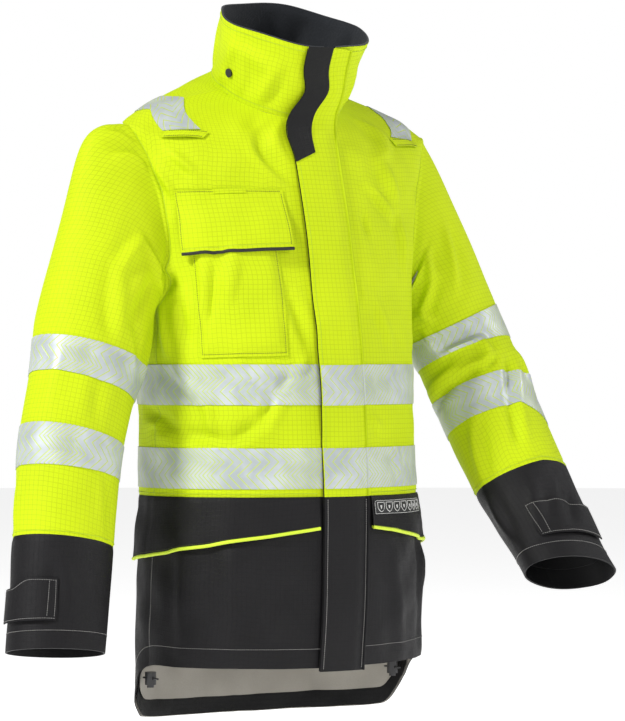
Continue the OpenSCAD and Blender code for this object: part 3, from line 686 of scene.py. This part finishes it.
# Other cloth: colour, its darker patches, grain, roughness, bump, sheen.
inner_yellow = plain_cloth("laminate_inside", (0.42, 0.47, 0.20), (0.34, 0.38, 0.16), 500, 0.7, 0.2, 0.1)
lining = plain_cloth("lining_mesh", (0.40, 0.375, 0.33), (0.30, 0.28, 0.24), 700, 0.75, 0.4, 0.1)
fleece = plain_cloth("navy_fleece", (0.012, 0.015, 0.020), (0.005, 0.007, 0.010), 320, 0.9, 1.0, 0.1)
webbing = plain_cloth("black_webbing", (0.02, 0.02, 0.022), (0.01, 0.01, 0.011), 900, 0.7, 0.7, 0.2)
piping_yellow = plain_cloth("yellow_piping", (0.68, 0.86, 0.03), (0.55, 0.72, 0.02), 800, 0.6, 0.4, 0.1)
piping_black = plain_cloth("charcoal_piping", (0.009, 0.009, 0.008), (0.005, 0.005, 0.005), 800, 0.6, 0.4, 0)
tape = segmented_tape("segmented_tape")
film = plain_cloth("tape_film_fold", (0.52, 0.57, 0.50), (0.42, 0.47, 0.40), 300, 0.45, 0.2, 0)
threads = {
    "yellow": plain_cloth("yellow_thread", (0.50, 0.64, 0.02), (0.34, 0.46, 0.02), 1500, 0.6, 0.3, 0.1),
    # Olive: real thread whose dark colour also paints the shade along the chest flap's and pocket's edges.
    "olive": plain_cloth("olive_thread_edge_shade", (0.07, 0.09, 0.012), (0.04, 0.055, 0.01), 1500, 0.6, 0.3, 0),
    "grey": plain_cloth("grey_thread", (0.30, 0.29, 0.28), (0.18, 0.18, 0.17), 1500, 0.6, 0.3, 0.1),
}
black_plastic = hard("black_plastic", (0.012, 0.012, 0.013), 0.42)
enamel = hard("black_enamel", (0.014, 0.014, 0.015), 0.3, 0.4)
snap_metal = hard("snap_enamel", (0.016, 0.016, 0.016), 0.35, 0.5)
label_white = plain_cloth("label_print", (0.72, 0.72, 0.70), (0.60, 0.60, 0.58), 1200, 0.6, 0.2, 0)
label_black = plain_cloth("label_ground", (0.008, 0.008, 0.009), (0.005, 0.005, 0.006), 1200, 0.55, 0.3, 0)

# --- camera, light and floor
# The photo's view: its turn round the coat, then millimetres.
PHOTO_TURN = math.radians(-35)
CAMERA_FAR, FRAME_HIGH, CAMERA_Z, AIM_RIGHT = 4700.0, 916.0, 455.0, 43.8
right_way = np.array([math.cos(PHOTO_TURN), math.sin(PHOTO_TURN), 0])
back_way = np.array([math.sin(PHOTO_TURN), -math.cos(PHOTO_TURN), 0])
camera = bpy.data.objects.new("camera", bpy.data.cameras.new("camera"))
bpy.context.collection.objects.link(camera)
SENSOR = 36
camera.data.sensor_width = SENSOR
camera.data.lens = SENSOR * CAMERA_FAR / FRAME_HIGH
camera.location = Vector(to_frame(right_way * AIM_RIGHT + back_way * CAMERA_FAR + [0, 0, CAMERA_Z]))
camera.rotation_euler = (math.pi / 2, 0, PHOTO_TURN)
bpy.context.scene.camera = camera


AIM = Vector((0, -0.05, -0.4))


def light(name, place, size, power):
    """Square soft lamp turned to the coat."""
    lamp = bpy.data.objects.new(name, bpy.data.lights.new(name, "AREA"))
    bpy.context.collection.objects.link(lamp)
    lamp.data.size, lamp.data.energy = size, power
    lamp.location = Vector(place)
    lamp.rotation_euler = (AIM - Vector(place)).to_track_quat("-Z", "Y").to_euler()


light("key", (-3.1, -0.5, 2.3), 0.6, 150)
light("front", (0.4, -3.6, 1.4), 1.2, 34)
light("side", (3.0, -1.4, 1.2), 1.0, 34)
# The surroundings look white to the camera and light the coat softly.
world = bpy.data.worlds.new("studio")
bpy.context.scene.world = world
world.use_nodes = True
tree = world.node_tree
sky = tree.nodes["Background"]
sky.inputs[0].default_value = (1, 1, 1, 1)
seen = tree.nodes.new("ShaderNodeLightPath").outputs["Is Camera Ray"]
level = tree.nodes.new("ShaderNodeMapRange")
tree.links.new(seen, level.inputs["Value"])
level.inputs["To Min"].default_value, level.inputs["To Max"].default_value = 0.3, 1.0
tree.links.new(level.outputs["Result"], sky.inputs[1])
bpy.context.scene.view_settings.view_transform = "Standard"

FLOOR_DROP, FLOOR_R, FLOOR_SIDES = 0.12, 12, 64
pale = Nodes("pale_floor")
pale.set(Base_Color=pale.mix(pale.noise(2.0), (0.93, 0.93, 0.93), (0.9, 0.9, 0.9)), Roughness=0.9)
pale.set(Emission_Color=(1, 1, 1, 1), Emission_Strength=0.6)
floor_z = cad_bounds[0][2] - FLOOR_DROP
around = np.linspace(0, 2 * math.pi, FLOOR_SIDES, endpoint=False)
ring = [(FLOOR_R * math.cos(a), FLOOR_R * math.sin(a), floor_z) for a in around]
floor_mesh = bpy.data.meshes.new("floor")
floor_mesh.from_pydata(ring, [], [list(range(FLOOR_SIDES))])
floor_mesh.materials.append(pale.mat)
floor = bpy.data.objects.new("floor", floor_mesh)
bpy.context.collection.objects.link(floor)


# --- where flaps bend
def bend(body, start, end):
    BLENDS[body] = tuple(tuple(to_frame(p)) for p in (start, end))


TAB_S0, TAB_S1, TAB_OFF, TAB_STEP = 0.856, 0.943, 2.4, 0.018
TAB_ENDS = {"right": (30, 112), "left": (-42, 48)}
bend("storm_flap", (34, -150, 400), (14, -150, 400))
bend("chest_flap", (-135, -80, 664), (-135, -80, 642))
for side, name in SIDES:
    bend(name + "_hip_flap", (side * 160, -80, 284), (side * 160, -80, 262))
for arm, (f0, f1) in TAB_ENDS.items():
    bend(arm + "_cuff_tab", sleeve(arm, f0, 0.9, 2), sleeve(arm, f0 + 14, 0.9, 2))


# --- body panels
def cut_at(h, amount):
    """How far the armhole cuts into a panel at a height; under the arm the cloth runs on a little."""
    rise = (h - ARM_H) / np.where(h < ARM_H, ARM_RZ - 7, ARM_RZ)
    return amount * np.sqrt(np.maximum(0, 1 - rise ** 2))


def front_points(side, low, edge):
    def points(u, v, off=None):
        h = mix(low, NECK_H, v)
        return torso(side * mix(angle_of(edge, h), 90 - cut_at(h, FRONT_CUT), u), h, off)
    return points


def back_points(low, trim=0.0):
    def points(u, v, off=None):
        h = mix(low, NECK_H, v)
        t = 90 + cut_at(h, REAR_CUT) + trim
        t = mix(t, 360 - t, u)
        return torso(t, h + (hem_h(t) if low < HEM_FRONT else 0) * (1 - v) ** 3, off)
    return points


# Height of the hem round the body, as a share of the front's. The coat hangs a little turned.
HEM_LINE = [(0, 1), (60, 1.03), (81, 1.02), (93, 0.79), (104, 0.35), (116, 0.09), (180, 0)]
HEM_TURN = 8.5


def hem_h(t):
    return HEM_FRONT * curve(HEM_LINE, np.abs(half_turn(t + HEM_TURN)))


YELLOW, CHARCOAL = [yellow, inner_yellow], [charcoal, facing]  # flaps and panels: outside, inside
FRONT_EDGE = 6
for side, name in SIDES:
    panel = front_points(side, WAIST_H, FRONT_EDGE)
    sheet(name + "_front_cloth", panel, 72, 170, YELLOW, name + "_front", "yellow_shell", flat_of=panel)
panel = back_points(WAIST_H)
sheet("back_cloth", panel, 120, 150, YELLOW, "back_panel", "yellow_shell", flat_of=panel)


def skirt_points(t0, t1):
    def points(u, v, off=None):
        t = mix(t0, t1, u)
        return torso(t, mix(hem_h(t), WAIST_H, v), off)
    return points


SKIRTS = (("right_skirt", -1.8, -90, 50), ("left_skirt", 1.8, 90, 50), ("back_skirt", 90, 270, 90))
for name, t0, t1, nu in SKIRTS:
    panel = skirt_points(t0, t1)
    sheet(name + "_cloth", panel, nu, 60, [charcoal, lining], name, "charcoal_shell", flat_of=panel)


def facing_points(u, v, off):
    t = mix(84, 276, u)
    return torso(t, hem_h(t) + mix(1, 25, v), off)


sheet("tail_facing_cloth", facing_points, 110, 4, [facing], "hem_facing", "charcoal_shell", lo=-4.4, hi=-3.4)

LINING_IN = 6.0
BODY_LINING = dict(mats=[lining], replaces="body_lining", slot="lining", lo=-LINING_IN - 1, hi=-LINING_IN)
for side, name in SIDES:
    sheet(name + "_front_lining", front_points(side, 98, 22), 24, 90, **BODY_LINING)
sheet("back_lining", back_points(22, 1), 80, 90, **BODY_LINING)


# --- sleeves and cuffs
def arm_points(arm, s0, s1):
    return lambda u, v, off: sleeve(arm, 360 * u - 180, mix(s0, s1, v), off)


LINING_S = 0.8  # where the sleeve's lining meets the darker one at the wrist
for arm in ARMS:
    inside = dict(replaces=arm + "_sleeve_lining", wrap=True, lo=-LINING_IN, hi=-LINING_IN + 1)
    sheet(arm + "_sleeve_cloth", arm_points(arm, 0, CUFF_S), 144, 150, YELLOW, arm + "_sleeve",
          "yellow_shell", wrap=True)
    sheet(arm + "_cuff_cloth", arm_points(arm, CUFF_S, 1), 120, 44, CHARCOAL, arm + "_cuff",
          "charcoal_shell", wrap=True, lo=-2.2)
    sheet(arm + "_sleeve_lining_cloth", arm_points(arm, 0.09, LINING_S), 60, 50, [lining], slot="lining",
          **inside)
    sheet(arm + "_wrist_lining_cloth", arm_points(arm, LINING_S, 0.955), 60, 12, [facing],
          slot="charcoal_shell", **inside)

# --- collar
COLLAR_OPEN = 5


def collar_ring(w0, w1):
    return lambda u, v, off: collar(mix(COLLAR_OPEN, 360 - COLLAR_OPEN, u), mix(w0, w1, v), off)


def fleece_points(u, v, off):
    rim = smooth((v - 0.9) / 0.1)
    return collar_ring(0.03, 1.0)(u, v, off + 1.5 * rim) + stack(0 * u, 0 * u, 0.9 * rim)


sheet("collar_cloth", collar_ring(0, 1), 150, 28, YELLOW, "collar_shell", "yellow_shell")
sheet("collar_fleece", fleece_points, 150, 24, [fleece], "collar_lining", "collar_fleece", lo=-4.2, hi=-1.6)


# --- reflective tape
LEVELS = ((TAPE_LOW, "lower"), (TAPE_HIGH, "upper"))
SLEEVE_TAPES, SLEEVE_TAPE_W = (0.33, 0.53), {"right": 0.085, "left": 0.095}
TAPE = dict(mats=[tape], slot="reflective_tape", lo=0.3, hi=1.1)


def band(side, h):
    return lambda u, v, off: torso(side * mix(9.6, 179.9, u), mix(h, h + TAPE_W, v), off)


for h, level in LEVELS:
    for side, name in SIDES:
        sheet(f"{name}_{level}_tape", band(side, h), 110, 12, replaces=level + "_body_tape", **TAPE)
for arm, wide in SLEEVE_TAPE_W.items():
    for k, s in enumerate(SLEEVE_TAPES):
        sheet(f"{arm}_sleeve_tape_{k + 1}", arm_points(arm, s, s + wide), 120, 12,
              replaces=arm + "_sleeve_tapes", wrap=True, **TAPE)


def shoulder_points(side):
    def points(u, v, off):
        d = 2 * v - 1
        h = mix(765, 782, u) - np.abs(d) ** 1.3 * mix(13.5, 19.5, u)
        return torso(side * (90 + d * mix(20, 34, u)), h, off)
    return points


for side, name in SIDES:
    sheet(name + "_shoulder_tape", shoulder_points(side), 12, 40, swap=True,
          replaces="shoulder_tapes", **TAPE)

# --- storm flap
FLAP_FREE, FLAP_SEAM, FLAP_LOW, FLAP_TOP = -34.0, 33.0, 70.0, 841.0
FLAP_LIFT = 4.4  # height of the free part above its ground


def flap_points(x0, x1, z0, z1):
    def points(u, v, off):
        x = mix(x0, x1, u)
        return flap(x, mix(z0, z1, v), off + mix(FLAP_LIFT, 1.2, smooth((x - 12) / 20)))
    return points


def hung(obj, points):
    """Samples points(u, v) on a 41 by 41 grid, in metres; the result is not kept."""
    u, v = np.meshgrid(np.linspace(0, 1, 41), np.linspace(0, 1, 41), indexing="ij")
    p = points(u, v, 0 * u) * MM


for name, z0, z1, nv, mats, slot in (
        ("upper", WAIST_H, FLAP_TOP, 150, YELLOW, "yellow_shell"),
        ("lower", FLAP_LOW, WAIST_H - 0.5, 60, CHARCOAL, "charcoal_shell")):
    points = flap_points(FLAP_FREE, FLAP_SEAM, z0, z1)
    hung(sheet("storm_flap_" + name, points, 24, nv, mats, "storm_flap", slot, "storm_flap", 0, 1.5), points)
# Painted shadow: a dark charcoal strip under the storm flap's free edge, showing 0.9 mm past it as the
# shadow line of the gap beneath.
edge = flap_points(FLAP_FREE - 0.9, FLAP_FREE + 14, FLAP_LOW + 1, FLAP_TOP - 1)
sheet("flap_edge_shadow_strip", edge, 6, 150, [facing], "flap_facing", "charcoal_shell", "storm_flap", -1.1, -0.1)


def chin_points(u, v, off):
    z = mix(mix(704, 717, u), FLAP_TOP + 0.5, v)
    return flap(mix(FLAP_FREE - 0.6, FLAP_FREE + mix(29, 33, v), u), z, off + FLAP_LIFT)


sheet("chin_facing", chin_points, 14, 50, [facing], "flap_facing", "charcoal_shell", "storm_flap", 1.55, 2.5)
for h, level in LEVELS:
    points = flap_points(FLAP_FREE + 0.6, FLAP_SEAM - 0.8, h, h + TAPE_W)
    sheet(f"flap_{level}_tape", points, 20, 12, [tape], "flap_tapes", "reflective_tape", "storm_flap",
          1.55, 2.2)


def welt(name, z0, z1, mat, slot):
    """The seam's raised edge, one piece for each colour it crosses."""
    z = np.linspace(z0, z1, 120)
    line = flap(np.full_like(z, FLAP_SEAM - 0.6), z, np.full_like(z, 2.4))
    cord_piece("flap_welt_" + name, [(line, 2.0)], mat, "coat", slot=slot)


welt("waist", WAIST_H, TAPE_LOW, yellow, "yellow_shell")
welt("middle", TAPE_LOW + TAPE_W, TAPE_HIGH, yellow, "yellow_shell")
welt("upper", TAPE_HIGH + TAPE_W, FLAP_TOP, yellow, "yellow_shell")
for h, level in LEVELS:
    welt(level + "_tape", h, h + TAPE_W, film, "reflective_tape")
welt("lower", FLAP_LOW, WAIST_H, charcoal, "charcoal_shell")

# --- chest pocket
# Ends of the pocket and of its flap round the body, in degrees.
POCKET_T = (-22.0, -60.0)
POCKET_LOW, POCKET_TOP = 458.0, 612.0
CHEST_T = (-16.2, -64.4)


def pocket_points(u, v, off):
    edge = np.minimum(np.minimum(u, 1 - u) * 8, v * 9)
    crown = smooth(edge) * mix(3.2, 5.6, v)
    h = mix(POCKET_LOW + 3 * (1 - u), POCKET_TOP, v)
    return torso(mix(*POCKET_T, u), h, off + 0.4 + crown)


sheet("chest_pocket_bag", pocket_points, 44, 50, YELLOW, "chest_pocket", "yellow_shell", lo=0, hi=1.5)


def chest_points(u, v, off):
    top = 681 - 11 * u
    h = mix(top - 76 - mix(11, 6, u), top, v)
    lift = mix(8.2, 0.5, smooth(1.15 * v - 0.12)) + 0.8 * np.sin(u * 9) * (1 - v)
    return torso(mix(*CHEST_T, u), h, off + lift)


def pen_points(u, v, off):
    return chest_points(mix(0.31, 0.6, u), mix(0.93, 1.01, v), off)


hung(sheet("chest_flap_cloth", chest_points, 48, 30, YELLOW, "chest_flap", "yellow_shell", "chest_flap",
           0, 1.6), chest_points)
s = np.linspace(0, 1, 60)
line = chest_points(s, np.full_like(s, -0.022), np.full_like(s, 0.7))
cord_piece("chest_flap_piping_cord", [(line, 2.2)], piping_black, "chest_flap",
           replaces="chest_flap_piping", slot="charcoal_shell")
sheet("pen_loop_cloth", pen_points, 14, 4, [yellow], "pen_loop", "yellow_shell", "chest_flap", 1.7, 2.6)

# --- hip pocket flaps and label
# Ends round the body in degrees, heights of the lower corners, height of the seam.
HIP_T, HIP_LOW, HIP_TOP = (11.5, 104.0), (249.0, 208.0), 286.0


def hip_points(side):
    def points(u, v, off):
        lift = mix(mix(3.6, 7.5, u ** 2), 0.4, smooth(v))
        return torso(side * mix(*HIP_T, u), mix(mix(*HIP_LOW, u), HIP_TOP, v), off + lift)
    return points


def bag_points(side):
    return lambda u, v, off: torso(side * mix(20, 70, u), mix(120, 262, v), off)


for side, name in SIDES:
    body = name + "_hip_flap"
    hung(sheet(body + "_cloth", hip_points(side), 70, 16, CHARCOAL, body, "charcoal_shell", body, 0, 1.5),
         hip_points(side))
    s = np.linspace(0, 1, 90)
    line = hip_points(side)(s, np.full_like(s, -0.02), np.full_like(s, 0.6))
    cord_piece(name + "_hip_piping_cord", [(line, 2.3)], piping_yellow, body,
               replaces=name + "_hip_piping", slot="yellow_piping")
    sheet(name + "_hip_bag_cloth", bag_points(side), 20, 16, [lining], name + "_hip_bag", "lining",
          lo=-4.8, hi=-4.0)


def strip_points(u, v, off):
    """Place on the label strip, which lies on the left hip flap."""
    along = (mix(12.5, 50, u) - HIP_T[0]) / (HIP_T[1] - HIP_T[0])
    low = mix(*HIP_LOW, along)
    return hip_points(1)(along, (mix(263.5, 281, v) - low) / (HIP_TOP - low), off)


sheet("care_strip_tape", strip_points, 40, 6, [label_black], "care_strip", "label_black", "left_hip_flap",
      1.5, 2.1)
MARKS = 7
MARK_SIZE = (0.052, 0.34)
SHIELD = [(-1, 1), (1, 1), (1, -0.1), (0.62, -0.66), (0, -1), (-0.62, -0.66), (-1, -0.1), (-1, 1)]
WEDGE = [(-0.2, 0.3), (0.2, 0.3), (0, -0.3), (-0.2, 0.3)]
BORDER = [(-1, -1), (1, -1), (1, 1), (-1, 1), (-1, -1)]


def mark(outline, u, size, thick):
    """Printed line round an outline, centred at u along the strip."""
    corners = np.array(outline, float)
    steps = np.linspace(0, len(corners) - 1, 8 * len(corners))
    x, y = (np.interp(steps, np.arange(len(corners)), corners[:, k]) for k in (0, 1))
    return strip_points(u + size[0] * x, 0.5 + size[1] * y, np.full_like(x, 2.15)), thick


lines = []
for k in range(MARKS):
    middle = (k + 0.75) / (MARKS + 0.5)
    lines += [mark(SHIELD, middle, MARK_SIZE, 0.42), mark(WEDGE, middle, MARK_SIZE, 0.6)]
lines.append(mark(BORDER, 0.5, (0.49, 0.46), 0.25))
cord_piece("care_strip_marks", lines, label_white, "left_hip_flap", 6,
           replaces="care_marks", slot="label_white")


# --- radio loops, tabs, pads
def loop_points(side):
    def points(u, v, off):
        h = mix(mix(751, 742.5, u), mix(760.5, 751.5, u), v)
        return torso(side * mix(51, 68, u), h, off + 2.4 * np.sin(math.pi * u))
    return points


for side, name in SIDES:
    sheet(name + "_radio_loop", loop_points(side), 24, 5, [yellow], "radio_loops", "yellow_shell",
          lo=1.2, hi=2.6)


def tab_points(arm):
    f0, f1 = TAB_ENDS[arm]

    def points(u, v, off):
        s0 = TAB_S0 + TAB_STEP * smooth(3 * u - 1.2)
        lift = mix(0.6, TAB_OFF, smooth(u * 5)) + 0.8 * np.sin(2.4 * u)
        return sleeve(arm, mix(f0, f1, u), mix(s0, TAB_S1, v), off + lift)
    return points


def pad_points(arm):
    f0, f1 = TAB_ENDS[arm]
    s0, s1 = TAB_S0 + TAB_STEP, TAB_S1 - 0.008
    return lambda u, v, off: sleeve(arm, mix(f0 + 45, f1 - 4, u), mix(s0, s1, v), off)


for arm in ARMS:
    tab = arm + "_cuff_tab"
    sheet(tab + "_cloth", tab_points(arm), 40, 14, CHARCOAL, tab, "charcoal_shell", tab, 0, 1.7)
    sheet(arm + "_hook_pad", pad_points(arm), 14, 8, [webbing], "cuff_hook_pads", "black_webbing",
          lo=0.2, hi=1.3)


# --- zip
ZIP_LOW, ZIP_TOP, TOOTH = 92.0, 752.0, 3.0
# Corners of a tooth: distance from the centre, and place along it as a share of the zip.
TOOTH_CORNERS = ((0.9, -0.0009), (3.5, -0.0015), (3.5, 0.0015), (0.9, 0.0009))
TOOTH_FACES = [[0, 1, 2, 3], [7, 6, 5, 4], [0, 4, 5, 1], [1, 5, 6, 2], [2, 6, 7, 3], [3, 7, 4, 0]]


def zip_points(side, x0, x1):
    def points(u, v, off):
        z = mix(ZIP_LOW, ZIP_TOP, v)
        lean = (front_depth(z + 1) - front_depth(z - 1)) / 2
        ground = stack(side * mix(x0, x1, u), -front_depth(z), z)
        return ground + off[..., None] * unit(stack(0 * z, -1 + 0 * z, lean))
    return points


for side, name in SIDES:
    sheet(name + "_zip_tape_cloth", zip_points(side, 1.4, 18), 8, 90, [webbing], name + "_zip_tape",
          "black_webbing", lo=-4.2, hi=-3.4)
    bunch = Bunch()
    for k in range(int((ZIP_TOP - ZIP_LOW) / TOOTH)):
        v = (k + 0.5 + 0.25 * side) * TOOTH / (ZIP_TOP - ZIP_LOW)
        corners = [zip_points(side, a, a)(np.array(0.0), np.array(v + b), np.array(c)) for c in (-3.2, -0.5)
                   for a, b in TOOTH_CORNERS]
        bunch.add(corners, TOOTH_FACES)
    bunch.piece(name + "_zip_teeth_row", black_plastic, "coat", replaces=name + "_zip_teeth",
                slot="zip_teeth")

# --- hanger loop and hem cord
LOOP_HALF, LOOP_Y, LOOP_H = 23, 62, 822
a = np.linspace(0, math.pi, 40)
bunch = Bunch()
bunch.add(*tube(stack(LOOP_HALF * np.cos(a), LOOP_Y, LOOP_H + 16 * np.sin(a) ** 0.6), 2.0, 10, 0.5))
for x in (-LOOP_HALF, LOOP_HALF):
    end = [(x, LOOP_Y + d / 20, LOOP_H + d) for d in (0, 6, 12)]
    bunch.add(*tube(end, [2.6, 2.9, 2.6], 8, 0.5))
bunch.piece("hanger_loop_cord", webbing, "coat", replaces="hanger_loop", slot="black_webbing")
CORD_LONG = 34.0
lines = []
for side, name in SIDES:
    x, y, z = np.mean(np.array(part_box(name + "_cord_lock")), 0) / MM + ORIGIN
    way = np.linspace(-CORD_LONG / 2, CORD_LONG / 2, 90)
    lines.append((stack(x, y + way, z), 1.15 + 0.14 * np.sin(way * 4)))
cord_piece("hem_cord_braid", lines, webbing, "coat", 8, replaces="hem_cord", slot="black_webbing")


# --- stitching
def hem_row(side, t0, t1):
    """Stitches above the hem, between two places round the body."""
    stitch_on(torso, lambda s: side * mix(t0, t1, s), lambda s: hem_h(side * mix(t0, t1, s)) + 24, 120,
              kind="grey", off=0.15)


def flap_row(x, z0, z1, n, kind, ground):
    stitch_on(lambda u, v, off: flap(u, v, off + ground), (x, z0), (x, z1), n, "storm_flap", kind, 1.6)


ARMHOLE_TOP = 742  # the yoke covers the armhole seam above this
for side in (-1, 1):
    for d in (4.0, 11.0):
        ends = (side * 12, WAIST_H + d), (side * 179, WAIST_H + d)
        stitch_on(torso, *ends, 160, kind="yellow", off=0.15)
    hem_row(side, 3, 90)
    hem_row(side, 90, 180)
    stitch_on(torso, (side * 88.4, 292), (side * 88.4, 520), 60, kind="yellow", off=0.15)
    stitch_on(torso, (side * 88.4, 100), (side * 88.4, 282), 60, kind="grey", off=0.15)
    f = np.linspace(0, 360, 200)
    keep = ARM_H + (ARM_RZ + 4) * sind(f) < ARMHOLE_TOP
    p0, p1 = (armhole(f, side, 5 / 3, 4, off) for off in (0.15, 1.15))
    for run in np.split(np.arange(200), np.where(np.diff(keep.astype(int)) != 0)[0] + 1):
        if keep[run[0]] and len(run) > 3:
            stitch(p0[run], (p1 - p0)[run], "coat", "yellow")
for w in (0.06, 0.93):
    stitch_on(collar, (12, w), (348, w), 200, kind="yellow", off=0.15)
TAB_ROWS = (((0.02, 0.05), (0.98, 0.05)), ((0.02, 0.95), (0.98, 0.95)), ((0.97, 0.06), (0.97, 0.94)),
            ((0.03, 0.06), (0.03, 0.94)), ((0.13, 0.06), (0.13, 0.94)))
for arm in ARMS:
    for s, kind in ((CUFF_S - 0.008, "yellow"), (0.962, "grey")):
        stitch_on(lambda u, v, off: sleeve(arm, u, v, off), (-180, s), (180, s), 140, kind=kind, off=0.15)
    for start, end in TAB_ROWS:
        stitch_on(tab_points(arm), start, end, 30, arm + "_cuff_tab", "grey", 1.8)
flap_row(FLAP_FREE + 4, FLAP_LOW + 3, WAIST_H - 3, 80, "grey", FLAP_LIFT)
flap_row(FLAP_FREE + 4, WAIST_H + 3, 700, 90, "yellow", FLAP_LIFT)
flap_row(FLAP_SEAM - 5, FLAP_LOW + 3, WAIST_H - 3, 80, "grey", 2.4)
# The olive rows round the chest flap and pocket are thread, and their dark colour is also painted shade
# along those edges.
stitch_on(chest_points, (0.02, 0.965), (0.98, 0.965), 60, "chest_flap", "olive", 1.6)
for u in (0.018, 0.982):
    stitch_on(chest_points, (u, 0.03), (u, 0.96), 40, "chest_flap", "olive", 1.6)
stitch_on(chest_points, (0.02, 0.05), (0.98, 0.05), 60, "chest_flap", "yellow", 1.6)
for u in (0.025, 0.975):
    stitch_on(pocket_points, (u, 0.02), (u, 0.98), 50, "coat", "olive", 1.5)
stitch_on(pocket_points, (0.03, 0.025), (0.97, 0.025), 50, "coat", "olive", 1.5)
for side, name in SIDES:
    stitch_on(hip_points(side), (0.01, 0.045), (0.99, 0.035), 80, name + "_hip_flap", "olive", 1.7)
    for v in (0.1, 0.9):
        stitch_on(loop_points(side), (0.04, v), (0.96, v), 20, "coat", "olive", 2.6)
for (body, kind), bunch in stitch_rows.items():
    slot = "yellow_shell" if kind == "yellow" else "charcoal_shell"
    bunch.piece(f"stitches_{body}_{kind}", threads[kind], body, slot=slot)

# --- CAD pieces that stay
STAY = {"zip_slider": enamel, "zip_puller": enamel, "hood_snaps": snap_metal, "front_studs": snap_metal,
        "flap_stud_caps": snap_metal, "right_cord_lock": black_plastic, "left_cord_lock": black_plastic,
        "right_lock_button": black_plastic, "left_lock_button": black_plastic}
for node, mat in STAY.items():
    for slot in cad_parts[node].material_slots:
        slot.material = mat
